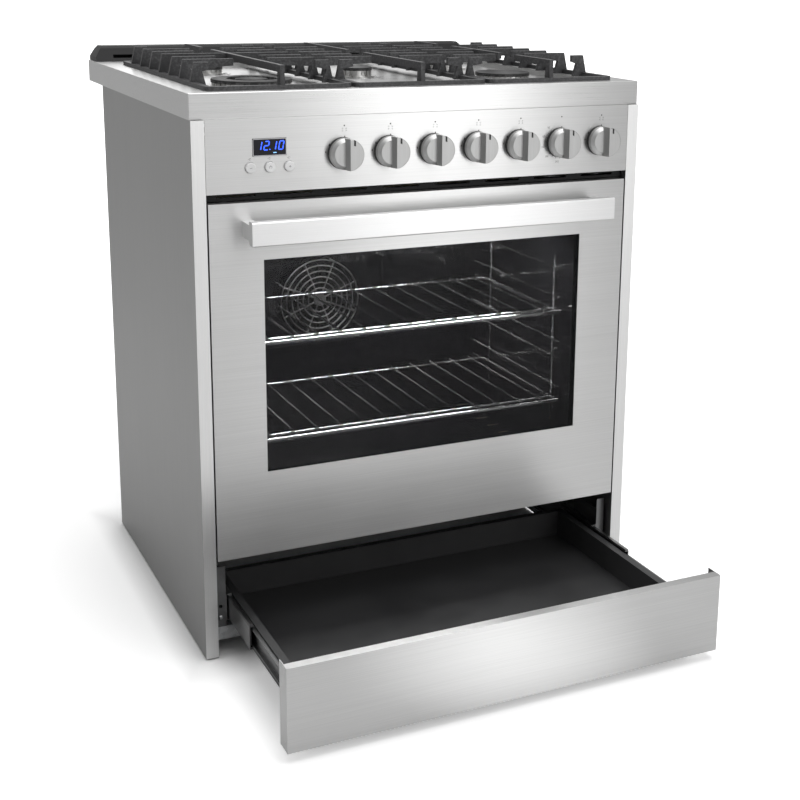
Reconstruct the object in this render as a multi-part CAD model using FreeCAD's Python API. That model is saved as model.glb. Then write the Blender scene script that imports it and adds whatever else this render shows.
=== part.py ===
import FreeCAD, Part
import math
import os

# Freestanding gas range, in millimetres: X to the viewer's right, Y to the back, Z up from the floor.
# Every shape is built with y = 0 on the cooktop's front plane. save() then moves it so that the origin is
# the centre of the whole object's footprint on the floor, with the drawer open.
# Open state as stored: oven door closed, storage drawer pulled out by DRAWER_OPEN.

# Driving dimensions
WIDTH = 760.0
COOKTOP_DEPTH = 700.0
BODY_DEPTH = 588.0
COOKTOP_TOP = 884.5
FASCIA_HEIGHT = 38.0
GRATE_TOP = 920.0
FACE = -6.5
SHEET = 1.2
STILE_WIDTH = 20.0
DRAWER_OPEN = 323.5

# Cooktop
WELL_DEPTH = 9.0
WELL_FLOOR = COOKTOP_TOP - WELL_DEPTH
WELL_HALF = 325.0
WELL_FRONT = 48.0
WELL_BACK = 545.0
GRATE_FRONT = 24.0
GRATE_BACK = 567.0
GRATE_HALF = 347.0
GRATE_SPLIT = 114.5
GRATE_GAP = 1.5
RIDGE_X = 229.0
FRAME_BAR = 10.0
FRAME_TOP = COOKTOP_TOP + 6.5
FINGER_THICKNESS = 7.0
FINGER_DEPTH = 11.0
POST_LEAN = 8.0
FINGER_FIRST_Y = 114.0
FINGER_PITCH = 64.0
FINGER_REACH = (30.0, 88.0, 78.0, 85.0, 78.0, 88.0, 30.0)
BURNERS = {
    # name: (x, y, radius of the cap, height of the head above the well)
    "front_left": (-229.0, 178.0, 64.0, 7.5),
    "rear_left": (-229.0, 434.0, 27.0, 8.5),
    "centre": (0.0, 306.0, 27.0, 12.0),
    "front_right": (222.0, 184.0, 47.0, 8.0),
    "rear_right": (229.0, 434.0, 36.0, 8.5),
}
WOK_RING_INNER = 40.0
WOK_CENTRE = 26.0
CAP_THICKNESS = 5.5

# Control panel
PANEL_HALF = 358.5
PANEL_BOTTOM = 737.2
BODY_TOP = COOKTOP_TOP - FASCIA_HEIGHT - 0.2
KNOB_FIRST_X = -147.0
KNOB_PITCH = 75.3
KNOB_Z = 789.5
KNOB_COUNT = 7
KNOB_RADIUS = 23.8
KNOB_BACK = -13.0
KNOB_RIM = -19.5
KNOB_STEP = -24.0
KNOB_FACE_RADIUS = 18.5
KNOB_FRONT = -36.0
GRIP_FOOT = -1.5
GRIP_EDGE = 1.6
SHAFT_RADIUS = 3.5
SHAFT_SOCKET = 9.0
SHAFT_END = 13.0
COLLAR_RADIUS = 24.4
COLLAR_TAPER = 0.9
COLLAR_DEPTH = 5.8
DISPLAY_X = -261.7
DISPLAY_Z = 803.8
DISPLAY_WIDTH = 52.0
DISPLAY_HEIGHT = 25.5
BUTTON_PITCH = 30.0
BUTTON_Z = 774.3
BUTTON_RADIUS = 7.8

# Oven
CAVITY_HALF = 290.0
CAVITY_BACK = 455.0
CAVITY_FLOOR = 220.0
CAVITY_TOP = 655.0
FRAME_FRONT = 36.0
RACK_LEVELS = {"upper": 487.0, "lower": 327.0}
RACK_FRONT = 50.0
RACK_BACK = 345.0
RACK_HALF = 276.0
RACK_WIRE_PITCH = 41.0
FAN_X = -24.0
FAN_Z = 450.0
FAN_RADIUS = 68.0
FAN_BLADES = 16
GUARD_RADIUS = 76.5
GUARD_WIRE = 1.3
GUARD_RINGS = 6
GUARD_SPOKES = 8
GUARD_STANDOFF = 22.0
LAMP_X = 205.0
LAMP_Z = 605.0
BAKE_Z = 204.0
BROIL_Z = 635.0
BURNER_TUBE = 9.5

# Door
DOOR_HALF = 356.5
DOOR_BOTTOM = 163.5
DOOR_TOP = 723.0
DOOR_SHELL_BACK = 14.0
DOOR_BACK = 33.0
WINDOW_HALF = 273.5
WINDOW_BOTTOM = 299.0
WINDOW_TOP = 635.0
SIGHT_HALF = 287.0
SIGHT_BOTTOM = 287.0
SIGHT_TOP = 640.0
INNER_PANEL_BOTTOM = 188.0
GLASS_LAP = 10.0
GLASS_THICKNESS = 4.0
HANDLE_BOLT_X = 297.0
HANDLE_BOLT_Z = 684.0
PIVOT_Y = 16.0
PIVOT_Z = 178.0
HINGE_X = 318.0
HANDLE_HALF = 306.7
HANDLE_BOTTOM = 666.0
HANDLE_TOP = 702.0
HANDLE_FRONT = -59.0
HANDLE_THICKNESS = 16.0
POST_HALF_WIDTH = 8.5
POST_HALF_HEIGHT = 12.0

# Drawer, at its stored open place
DRAWER_FRONT = FACE - DRAWER_OPEN
DRAWER_FRONT_HALF = 357.0
DRAWER_FRONT_BOTTOM = 15.0
DRAWER_FRONT_TOP = 143.0
BOX_HALF = 327.2
BOX_WALL = 12.2
BOX_FLOOR = 46.5
BOX_RIM = 92.2
BOX_FRONT = DRAWER_FRONT + 15.0
BOX_BACK = DRAWER_FRONT + 446.2
SLIDE_BOTTOM = 54.2
SLIDE_TOP = 97.8
SLIDE_LENGTH = 450.0

# Base and casing
PANEL_FOOT = 3.0
BRACKET_Y = 12.0
SCREW_SHANK = 1.8
SCREW_HOLE = 2.15
REAR_SCREW_X = 363.0
REAR_SCREW_ROWS = (120.0, 330.0, 540.0, 750.0)
INLET_X = 335.0
INLET_RADIUS = 10.4
INLET_START = 542.0
INLET_END = 616.0
INLET_Z = 695.0
GLAND_X = -300.0
GLAND_Z = 110.0
RAIL_BOTTOM = 22.0
RAIL_TOP = 44.0
RAIL_HALF_OUTER = 377.2
RAIL_HALF_INNER = 354.8
RAIL_SHEET = 1.6
CROSS_RAIL_FRONT = 12.0
CROSS_RAIL_REAR = 583.0
SHIELD_HALF = 376.0
SHIELD_FRONT = 40.0
SHIELD_Z = 158.0
SHIELD_LIP = 14.0
TRIM_HALF = 377.0
TRIM_HOLLOW_HALF = 362.0
TRIM_FRONT = 640.0
TRIM_TOP = 912.0
REAR_HALF = 376.5
LOUVRE_COLUMNS = (-250.0, -120.0, 10.0, 140.0)
LOUVRE_ROWS = (748.0, 764.0, 780.0)
LOUVRE_LENGTH = 90.0
LOUVRE_HEIGHT = 6.0
WOOL_HALF = 320.0
WOOL_BACK = 482.0
WOOL_BOTTOM = 172.0
WOOL_TOP = 688.0
GUIDE_POSTS = (90.0, 330.0)
GUIDE_FRONT = 60.0
GUIDE_LENGTH = 330.0
RAIL_WIDTH = 22.0
FOOT_X = 364.0
FOOT_ROWS = (64.0, 548.0)

ORIGIN_Y = (COOKTOP_DEPTH + DRAWER_FRONT) / 2
X_AXIS = FreeCAD.Vector(1, 0, 0)
Y_AXIS = FreeCAD.Vector(0, 1, 0)
Z_AXIS = FreeCAD.Vector(0, 0, 1)


def box(x0, x1, y0, y1, z0, z1):
    return Part.makeBox(x1 - x0, y1 - y0, z1 - z0, FreeCAD.Vector(x0, y0, z0))


def cylinder(radius, start, axis, length):
    return Part.makeCylinder(radius, length, FreeCAD.Vector(*start), axis)


def ring(outer, inner, start, axis, length):
    return cylinder(outer, start, axis, length).cut(cylinder(inner, start, axis, length))


def prism_x(points, x0, x1):
    """A closed outline of (y, z) points, extruded from x0 to x1."""
    corners = [FreeCAD.Vector(x0, y, z) for y, z in points]
    face = Part.Face(Part.makePolygon(corners + corners[:1]))
    return face.extrude(FreeCAD.Vector(x1 - x0, 0, 0))


def prism_y(points, y0, y1):
    """A closed outline of (x, z) points, extruded from y0 to y1."""
    corners = [FreeCAD.Vector(x, y0, z) for x, z in points]
    face = Part.Face(Part.makePolygon(corners + corners[:1]))
    return face.extrude(FreeCAD.Vector(0, y1 - y0, 0))


def prism_z(points, z0, z1):
    """A closed outline of (x, y) points, extruded from z0 to z1."""
    corners = [FreeCAD.Vector(x, y, z0) for x, y in points]
    face = Part.Face(Part.makePolygon(corners + corners[:1]))
    return face.extrude(FreeCAD.Vector(0, 0, z1 - z0))


def join(shapes):
    first, rest = shapes[0], shapes[1:]
    if not rest:
        return first
    return first.fuse(rest).removeSplitter()


def cut(shape, tools):
    return shape.cut(tools) if tools else shape


def mirrored(shape):
    return shape.mirror(FreeCAD.Vector(0, 0, 0), X_AXIS)


def both_sides(shape):
    return [shape, mirrored(shape)]


def round_edges(shape, radius, wanted):
    """Fillet the edges of a shape for which wanted(edge) is true."""
    edges = [edge for edge in shape.Edges if wanted(edge)]
    return shape.makeFillet(radius, edges)


def runs_along(edge, axis):
    if not isinstance(edge.Curve, Part.Line):
        return False
    return abs(abs(edge.Curve.Direction.dot(axis)) - 1) < 1e-6


def rounded_plate(x0, x1, y0, y1, z0, z1, radius):
    plate = box(x0, x1, y0, y1, z0, z1)
    return round_edges(plate, radius, lambda edge: runs_along(edge, Z_AXIS))


def save(name, *shapes):
    solids = [solid for shape in shapes for solid in shape.Solids]
    for solid in solids:
        if not solid.isValid() or solid.Volume <= 0:
            raise ValueError(name + ": a solid is not valid")
    result = solids[0] if len(solids) == 1 else Part.makeCompound(solids)
    result = result.copy()
    result.translate(FreeCAD.Vector(0, -ORIGIN_Y, 0))
    result.exportStep("parts/" + name + ".step")


# ---------------------------------------------------------------- casing

def side_panel():
    """Left panel: a folded skin whose front edge wraps into a narrow stile."""
    outer = -WIDTH / 2 + 1
    inner = outer + STILE_WIDTH
    holes = [cylinder(SCREW_HOLE, (-REAR_SCREW_X, BODY_DEPTH - 3, z), Y_AXIS, 6) for z in REAR_SCREW_ROWS]
    return cut(join([
        box(outer, outer + SHEET, FACE, BODY_DEPTH, PANEL_FOOT, BODY_TOP),
        box(outer, inner, FACE, FACE + SHEET, PANEL_FOOT, BODY_TOP),
        box(inner - SHEET, inner, FACE, FACE + 28, PANEL_FOOT, BODY_TOP),
        box(outer, outer + 27, BODY_DEPTH - SHEET, BODY_DEPTH, PANEL_FOOT, BODY_TOP),
    ]), holes)


def base_frame():
    """Welded floor frame: angle side rails carrying the feet, and folded cross rails."""
    front = [
        box(-RAIL_HALF_INNER, RAIL_HALF_INNER, CROSS_RAIL_FRONT, CROSS_RAIL_FRONT + RAIL_SHEET,
            RAIL_BOTTOM, RAIL_TOP),
        box(-RAIL_HALF_INNER, RAIL_HALF_INNER, CROSS_RAIL_FRONT, CROSS_RAIL_FRONT + 24,
            RAIL_BOTTOM, RAIL_BOTTOM + RAIL_SHEET),
        box(-RAIL_HALF_OUTER, RAIL_HALF_OUTER, CROSS_RAIL_FRONT + 18, CROSS_RAIL_FRONT + 24,
            RAIL_BOTTOM, RAIL_BOTTOM + RAIL_SHEET),
    ]
    rear = [
        box(-RAIL_HALF_OUTER, RAIL_HALF_OUTER, CROSS_RAIL_REAR - 23, CROSS_RAIL_REAR,
            RAIL_BOTTOM, RAIL_BOTTOM + RAIL_SHEET),
        box(-RAIL_HALF_OUTER, RAIL_HALF_OUTER, CROSS_RAIL_REAR - RAIL_SHEET, CROSS_RAIL_REAR,
            RAIL_BOTTOM, RAIL_TOP),
    ]
    sides = []
    holes = []
    for sign in (-1, 1):
        outer = sign * RAIL_HALF_OUTER
        inner = outer - sign * RAIL_WIDTH
        low, high = sorted((outer, inner))
        web_low, web_high = sorted((outer, outer - sign * 1.6))
        sides.append(box(low, high, 30, 583, RAIL_BOTTOM, RAIL_BOTTOM + 1.6))
        sides.append(box(web_low, web_high, 30, 583, RAIL_BOTTOM, RAIL_TOP))
        for y in FOOT_ROWS:
            sides.append(cylinder(9, (sign * FOOT_X, y, RAIL_BOTTOM), Z_AXIS, 9))
            holes.append(cylinder(5.06, (sign * FOOT_X, y, RAIL_BOTTOM - 1), Z_AXIS, 12))
    return cut(join(front + rear + sides), holes)


def levelling_feet():
    feet = []
    for x in (-FOOT_X, FOOT_X):
        for y in FOOT_ROWS:
            pad = Part.makeCone(13.5, 11.5, 9, FreeCAD.Vector(x, y, 0), Z_AXIS)
            stud = cylinder(5, (x, y, 8), Z_AXIS, 40)
            feet.append(join([pad, stud]))
    return feet


def screw(x, y, z, direction, head_radius):
    """Pan-head screw whose head sits on the plane y and whose shank runs on in the given direction."""
    head = Part.makeCone(head_radius, head_radius - 1.4, 2.2, FreeCAD.Vector(x, y, z), -direction)
    shank = cylinder(SCREW_SHANK, (x, y, z), direction, 9)
    return head.fuse(shank)


def casing_screws():
    screws = [screw(side * 349, BRACKET_Y, 60, Y_AXIS, 3.6) for side in (-1, 1)]
    screws += [screw(side * REAR_SCREW_X, BODY_DEPTH, z, -Y_AXIS, 4.2) for side in (-1, 1)
               for z in REAR_SCREW_ROWS]
    return screws


def rear_panel():
    back = BODY_DEPTH - SHEET
    sheet = box(-REAR_HALF, REAR_HALF, back - SHEET, back, RAIL_TOP, BODY_TOP - 2)
    inlet = cylinder(12.5, (INLET_X, back - 3, INLET_Z), Y_AXIS, 6)
    gland = cylinder(11.4, (GLAND_X, back - 3, GLAND_Z), Y_AXIS, 6)
    slots = [box(x, x + LOUVRE_LENGTH, back - 3, back + 2, z, z + LOUVRE_HEIGHT)
             for x in LOUVRE_COLUMNS for z in LOUVRE_ROWS]
    screw_holes = [cylinder(SCREW_HOLE, (side * REAR_SCREW_X, back - 3, z), Y_AXIS, 6)
                   for side in (-1, 1) for z in REAR_SCREW_ROWS]
    return cut(sheet, [inlet, gland] + slots + screw_holes)


def drawer_heat_shield():
    """Sheet between the oven's underside and the drawer space, with turned-up edges."""
    lip_top = SHIELD_Z + SHIELD_LIP
    return join([
        box(-SHIELD_HALF, SHIELD_HALF, SHIELD_FRONT, CROSS_RAIL_REAR, SHIELD_Z, SHIELD_Z + SHEET),
        box(-SHIELD_HALF, -SHIELD_HALF + SHEET, SHIELD_FRONT, CROSS_RAIL_REAR, SHIELD_Z, lip_top),
        box(SHIELD_HALF - SHEET, SHIELD_HALF, SHIELD_FRONT, CROSS_RAIL_REAR, SHIELD_Z, lip_top),
    ])


def cooktop_pan():
    """Pressed stainless top: rolled edge, skirt all round, shallow well and a dish at each burner."""
    half = WIDTH / 2
    outside = box(-half, half, 0, COOKTOP_DEPTH, COOKTOP_TOP - FASCIA_HEIGHT, COOKTOP_TOP)
    outside = round_edges(outside, 1.6, lambda e: runs_along(e, Z_AXIS))
    outside = round_edges(outside, 1.2, lambda e: e.BoundBox.ZMin > COOKTOP_TOP - 0.01)
    under = WELL_FLOOR - SHEET
    inside = box(-half + SHEET, half - SHEET, SHEET, COOKTOP_DEPTH - SHEET,
                 COOKTOP_TOP - FASCIA_HEIGHT - 1, under)
    pan = outside.cut(inside)
    well = rounded_plate(-WELL_HALF, WELL_HALF, WELL_FRONT, WELL_BACK, WELL_FLOOR, COOKTOP_TOP + 1, 30)
    pan = pan.cut(well)
    lips = []
    holes = []
    for x, y, radius, height in BURNERS.values():
        holes.append(cylinder(radius - 3, (x, y, under - 2), Z_AXIS, 12))
        lips.append(ring(radius + 14, radius + 9, (x, y, WELL_FLOOR - 0.2), Z_AXIS, 1.0))
    pan = cut(join([pan] + lips), holes)
    return pan


def rear_trim():
    """Black flue guard across the back: sloped front, bevelled ends, outlet slots in the front face."""
    base = COOKTOP_TOP + 0.2
    top = TRIM_TOP
    front = TRIM_FRONT
    back = COOKTOP_DEPTH - 1
    outline = [(front, base), (front + 14, top - 4), (front + 20, top), (back - 8, top), (back, top - 7),
               (back, base)]
    hollow = [(front + 3, base - 1), (front + 16, top - 7), (front + 21, top - 2.5), (back - 9, top - 2.5),
              (back - 2, top - 9), (back - 2, base - 1)]
    body = prism_x(outline, -TRIM_HALF, TRIM_HALF)
    body = body.cut(prism_x(hollow, -TRIM_HOLLOW_HALF, TRIM_HOLLOW_HALF))
    bevels = []
    for sign in (-1, 1):
        edge = sign * TRIM_HALF
        bevels.append(prism_y([(edge, base + 8), (edge, top + 1), (edge - sign * 14, top + 1)],
                              front - 1, back + 1))
    slots = [box(x, x + 84, front - 2, front + 12, base + 6, base + 12)
             for x in [-345 + 100.5 * index for index in range(7)]]
    return cut(body, bevels + slots)


# ---------------------------------------------------------------- control panel

def knob_places():
    return [KNOB_FIRST_X + KNOB_PITCH * index for index in range(KNOB_COUNT)]


def button_places():
    return [DISPLAY_X + BUTTON_PITCH * index for index in (-1, 0, 1)]


def control_panel():
    face = box(-PANEL_HALF, PANEL_HALF, FACE, FACE + SHEET, PANEL_BOTTOM, BODY_TOP)
    top = box(-PANEL_HALF, PANEL_HALF, FACE, 24, BODY_TOP - SHEET, BODY_TOP)
    bottom = box(-PANEL_HALF, PANEL_HALF, FACE, 6, PANEL_BOTTOM, PANEL_BOTTOM + SHEET)
    holes = [cylinder(5, (x, FACE - 2, KNOB_Z), Y_AXIS, 6) for x in knob_places()]
    holes += [cylinder(BUTTON_RADIUS + 0.4, (x, FACE - 2, BUTTON_Z), Y_AXIS, 6) for x in button_places()]
    window = box(DISPLAY_X - DISPLAY_WIDTH / 2 - 0.4, DISPLAY_X + DISPLAY_WIDTH / 2 + 0.4, FACE - 2, 2,
                 DISPLAY_Z - DISPLAY_HEIGHT / 2 - 0.4, DISPLAY_Z + DISPLAY_HEIGHT / 2 + 0.4)
    return cut(join([face, top, bottom]), holes + [window])


def vent_strip():
    """Black strip over the door, with a row of cooling-air slots and a shelf turned back from it."""
    strip = join([
        box(-PANEL_HALF, PANEL_HALF, 7, 8.2, DOOR_TOP + 2, PANEL_BOTTOM - 0.3),
        box(-PANEL_HALF, PANEL_HALF, 7, 34, DOOR_TOP + 2, DOOR_TOP + 3.2),
    ])
    slots = [box(x, x + 60, 5, 10, DOOR_TOP + 6, DOOR_TOP + 10)
             for x in [-340 + 88.6 * index for index in range(8)]]
    return cut(strip, slots)


def knob_collars():
    """Black tapered collar behind each knob, with a running bore for the shaft."""
    collars = []
    for x in knob_places():
        cone = Part.makeCone(COLLAR_RADIUS, COLLAR_RADIUS - COLLAR_TAPER, COLLAR_DEPTH,
                             FreeCAD.Vector(x, FACE, KNOB_Z), -Y_AXIS)
        collars.append(cone.cut(cylinder(5, (x, FACE + 1, KNOB_Z), -Y_AXIS, 14)))
    return collars


def knob(x):
    """A round metal knob on its shaft: its left half a low bevelled disc, its right half a raised grip."""
    grip = cylinder(KNOB_RADIUS, (x, KNOB_BACK, KNOB_Z), -Y_AXIS, KNOB_BACK - KNOB_FRONT)
    grip = round_edges(grip, 1.0, lambda e: abs(e.BoundBox.YMax - KNOB_FRONT) < 0.01)
    left = x - KNOB_RADIUS - 1
    beyond = KNOB_FRONT - 1
    cutaway = prism_z([(left, KNOB_BACK + 1), (left, beyond), (x + GRIP_EDGE, beyond), (x + GRIP_EDGE, KNOB_FRONT),
                       (x + GRIP_FOOT, KNOB_STEP), (x + GRIP_FOOT, KNOB_BACK + 1)],
                      KNOB_Z - KNOB_RADIUS - 1, KNOB_Z + KNOB_RADIUS + 1)
    rim = cylinder(KNOB_RADIUS, (x, KNOB_BACK, KNOB_Z), -Y_AXIS, KNOB_BACK - KNOB_RIM)
    bevel = Part.makeCone(KNOB_RADIUS, KNOB_FACE_RADIUS, KNOB_RIM - KNOB_STEP,
                          FreeCAD.Vector(x, KNOB_RIM, KNOB_Z), -Y_AXIS)
    socket = cylinder(SHAFT_RADIUS + 0.05, (x, KNOB_BACK + 1, KNOB_Z), -Y_AXIS, SHAFT_SOCKET + 1)
    shell = join([grip.cut(cutaway), rim, bevel]).cut(socket)
    shaft_length = SHAFT_END - KNOB_BACK + SHAFT_SOCKET
    shaft = cylinder(SHAFT_RADIUS, (x, KNOB_BACK - SHAFT_SOCKET, KNOB_Z), Y_AXIS, shaft_length)
    return [shell, shaft]


def clock_display():
    plate = box(DISPLAY_X - DISPLAY_WIDTH / 2, DISPLAY_X + DISPLAY_WIDTH / 2, FACE - 0.9, FACE + 2.2,
                DISPLAY_Z - DISPLAY_HEIGHT / 2, DISPLAY_Z + DISPLAY_HEIGHT / 2)
    return round_edges(plate, 2.0, lambda e: runs_along(e, Y_AXIS))


def clock_module():
    """Plastic timer housing behind the panel, with a pocket behind each button."""
    housing = box(DISPLAY_X - 48, DISPLAY_X + 48, FACE + 2.2, 26, BUTTON_Z - 13, DISPLAY_Z + 18)
    pockets = [cylinder(BUTTON_RADIUS + 0.6, (x, FACE, BUTTON_Z), Y_AXIS, 8) for x in button_places()]
    return housing.cut(pockets)


def clock_button(x):
    cap = cylinder(BUTTON_RADIUS, (x, FACE + 4, BUTTON_Z), -Y_AXIS, 8.5)
    return round_edges(cap, 1.5, lambda e: e.BoundBox.YMax < FACE - 4)


def gas_manifold():
    """Gas rail with a tap behind each knob, fed by a pipe that comes forward from the inlet."""
    y = 52.0
    rail_z = 800.0
    pieces = [
        cylinder(8, (-INLET_X, y, rail_z), X_AXIS, 2 * INLET_X),
        Part.makeSphere(10, FreeCAD.Vector(INLET_X, y, rail_z)),
        cylinder(8, (INLET_X, y, INLET_Z), Z_AXIS, rail_z - INLET_Z),
        Part.makeSphere(10, FreeCAD.Vector(INLET_X, y, INLET_Z)),
        cylinder(8, (INLET_X, y, INLET_Z), Y_AXIS, INLET_START - y),
    ]
    bores = []
    for x in knob_places():
        pieces.append(box(x - 13, x + 13, 4, 48, KNOB_Z - 14, KNOB_Z + 14))
        pieces.append(cylinder(9, (x, -2, KNOB_Z), Y_AXIS, 8))
        bores.append(cylinder(SHAFT_RADIUS + 0.08, (x, -3, KNOB_Z), Y_AXIS, 18))
    return cut(join(pieces), bores)


def gas_inlet():
    """Half-inch male inlet pipe with a hexagonal nut, through the rear panel."""
    pipe = cylinder(INLET_RADIUS, (INLET_X, INLET_START, INLET_Z), Y_AXIS, INLET_END - INLET_START)
    corners = []
    for index in range(6):
        angle = math.radians(60 * index)
        corners.append((INLET_X + 15 * math.cos(angle), INLET_Z + 15 * math.sin(angle)))
    nut = prism_y(corners, INLET_START + 8, INLET_START + 22)
    bore = cylinder(7.5, (INLET_X, INLET_START - 1, INLET_Z), Y_AXIS, INLET_END - INLET_START + 2)
    return join([pipe, nut]).cut(bore)


def power_gland():
    """Cord gland in the rear panel: a flanged plastic bush with a through bore."""
    back = BODY_DEPTH - SHEET
    return join([
        ring(11, 5.5, (GLAND_X, back - 12, GLAND_Z), Y_AXIS, 22),
        ring(15, 5.5, (GLAND_X, back, GLAND_Z), Y_AXIS, 4),
        ring(14, 5.5, (GLAND_X, back - 5.2, GLAND_Z), Y_AXIS, 4),
    ])


# ---------------------------------------------------------------- burners and grates

def burner_heads():
    """Cast burner bodies: a base disc on the well, a ported head and a venturi throat through the pan."""
    heads = []
    for name, (x, y, radius, height) in BURNERS.items():
        disc = cylinder(radius + 5, (x, y, WELL_FLOOR), Z_AXIS, 2.2)
        body = cylinder(radius - 1.5, (x, y, WELL_FLOOR), Z_AXIS, height)
        throat = cylinder(radius - 4, (x, y, WELL_FLOOR - 26), Z_AXIS, 30)
        head = join([disc, body, throat])
        if name == "front_left":
            moat = ring(WOK_RING_INNER, WOK_CENTRE - 1, (x, y, WELL_FLOOR + 3), Z_AXIS, 20)
            head = head.cut(moat)
        ports = int(radius * 0.62)
        slots = []
        for index in range(ports):
            slot = box(radius - 5, radius, -1.1, 1.1, WELL_FLOOR + 4, WELL_FLOOR + height + 1)
            slot.rotate(FreeCAD.Vector(0, 0, 0), Z_AXIS, 360 / ports * index)
            slot.translate(FreeCAD.Vector(x, y, 0))
            slots.append(slot)
        heads.append(head.cut(slots))
        pin_angle = math.radians(160 if x > 0 else 20)
        pin_x = x + (radius + 3) * math.cos(pin_angle)
        pin_y = y + (radius + 3) * math.sin(pin_angle)
        heads.append(cylinder(1.6, (pin_x, pin_y, WELL_FLOOR + 2.2), Z_AXIS, height - 3))
    return heads


def burner_cap(name):
    x, y, radius, height = BURNERS[name]
    base = WELL_FLOOR + height

    def plate(size):
        disc = cylinder(size, (x, y, base), Z_AXIS, CAP_THICKNESS)
        return round_edges(disc, 1.4, lambda e: e.BoundBox.ZMin > base + CAP_THICKNESS - 0.1)

    if name != "front_left":
        return [plate(radius)]
    crown = plate(radius).cut(cylinder(WOK_RING_INNER, (x, y, base - 1), Z_AXIS, 10))
    return [crown, plate(WOK_CENTRE)]


def grate_finger(edge_x, direction, y, reach, root):
    """One upright finger: a leaning post on the frame that turns inwards into a flat-topped arm."""
    def at(distance, z):
        return edge_x + direction * distance, z

    underside = GRATE_TOP - FINGER_DEPTH
    outline = [
        at(0, COOKTOP_TOP), at(POST_LEAN, GRATE_TOP), at(reach, GRATE_TOP), at(reach, underside),
        at(root - 6, underside - 3), at(root, COOKTOP_TOP),
    ]
    half = FINGER_THICKNESS / 2
    return prism_y(outline, y - half, y + half)


def grate_ridge(x, y0, y1):
    """A front-to-back arm at x, with a post down to the frame where it reaches the frame's end."""
    underside = GRATE_TOP - FINGER_DEPTH
    half = FINGER_THICKNESS / 2
    bars = [box(x - half, x + half, y0 + 2, y1 - 2, underside, GRATE_TOP)]
    for end, inwards in ((y0, 1), (y1, -1)):
        if end not in (GRATE_FRONT, GRATE_BACK):
            continue
        bars.append(prism_x([(end, COOKTOP_TOP), (end + inwards * 4, GRATE_TOP), (end + inwards * 14, GRATE_TOP),
                             (end + inwards * 18, COOKTOP_TOP)], x - half, x + half))
    return bars


def grate(x0, x1, ridge_x, ridge_spans, root_left, root_right, has_bridge):
    """A cast grate: a low frame with rounded corners, fingers along both sides and a ridge between them."""
    frame = rounded_plate(x0, x1, GRATE_FRONT, GRATE_BACK, COOKTOP_TOP, FRAME_TOP, 14)
    opening = rounded_plate(x0 + FRAME_BAR, x1 - FRAME_BAR, GRATE_FRONT + FRAME_BAR, GRATE_BACK - FRAME_BAR,
                            COOKTOP_TOP - 1, FRAME_TOP + 1, 6)
    pieces = [frame.cut(opening)]
    middle = len(FINGER_REACH) // 2
    for index, reach in enumerate(FINGER_REACH):
        y = FINGER_FIRST_Y + FINGER_PITCH * index
        for edge, direction, root in ((x0, 1, root_left), (x1, -1, root_right)):
            length = abs(ridge_x - edge) if has_bridge and index == middle else reach
            pieces.append(grate_finger(edge, direction, y, length, root))
    for y0, y1 in ridge_spans:
        pieces += grate_ridge(ridge_x, y0, y1)
    return join(pieces)


# ---------------------------------------------------------------- oven

def oven_liner():
    """Enamelled cavity, open at the front, with a slotted floor and passages for fan, lamp and burner."""
    wall = 1.5
    outside = box(-CAVITY_HALF - wall, CAVITY_HALF + wall, FRAME_FRONT + 2, CAVITY_BACK + wall,
                  CAVITY_FLOOR - wall, CAVITY_TOP + wall)
    inside = box(-CAVITY_HALF, CAVITY_HALF, FRAME_FRONT, CAVITY_BACK, CAVITY_FLOOR, CAVITY_TOP)
    ribs = [box(x - 4, x + 4, CAVITY_BACK - 3, CAVITY_BACK + 1, 262, 340) for x in range(-220, 221, 40)]
    ribs += [box(-CAVITY_HALF - 1, -CAVITY_HALF + 2.5, 70, 420, z, z + 6) for z in (380, 540)]
    ribs += [box(CAVITY_HALF - 2.5, CAVITY_HALF + 1, 70, 420, z, z + 6) for z in (380, 540)]
    passages = [
        cylinder(7, (FAN_X, CAVITY_BACK - 2, FAN_Z), Y_AXIS, 8),
        cylinder(17, (LAMP_X, CAVITY_BACK - 2, LAMP_Z), Y_AXIS, 8),
        cylinder(BURNER_TUBE + 1, (0, CAVITY_BACK - 2, BROIL_Z), Y_AXIS, 8),
    ]
    slots = [box(side * 256 - 12, side * 256 + 12, 80 + 44 * row, 86 + 44 * row,
                 CAVITY_FLOOR - 4, CAVITY_FLOOR + 2) for side in (-1, 1) for row in range(8)]
    return cut(join([outside.cut(inside)] + ribs), passages + slots)


def oven_face_frame():
    """Black front frame round the cavity mouth, with a slot for each hinge."""
    plate = box(-PANEL_HALF, PANEL_HALF, FRAME_FRONT, FRAME_FRONT + 2, 148, DOOR_TOP + 1.5)
    mouth = box(-CAVITY_HALF, CAVITY_HALF, FRAME_FRONT - 1, FRAME_FRONT + 3, CAVITY_FLOOR, CAVITY_TOP)
    slots = [box(sign * HINGE_X - 3, sign * HINGE_X + 3, FRAME_FRONT - 1, FRAME_FRONT + 3, 168, 190)
             for sign in (-1, 1)]
    return cut(plate, [mouth] + slots)


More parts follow.
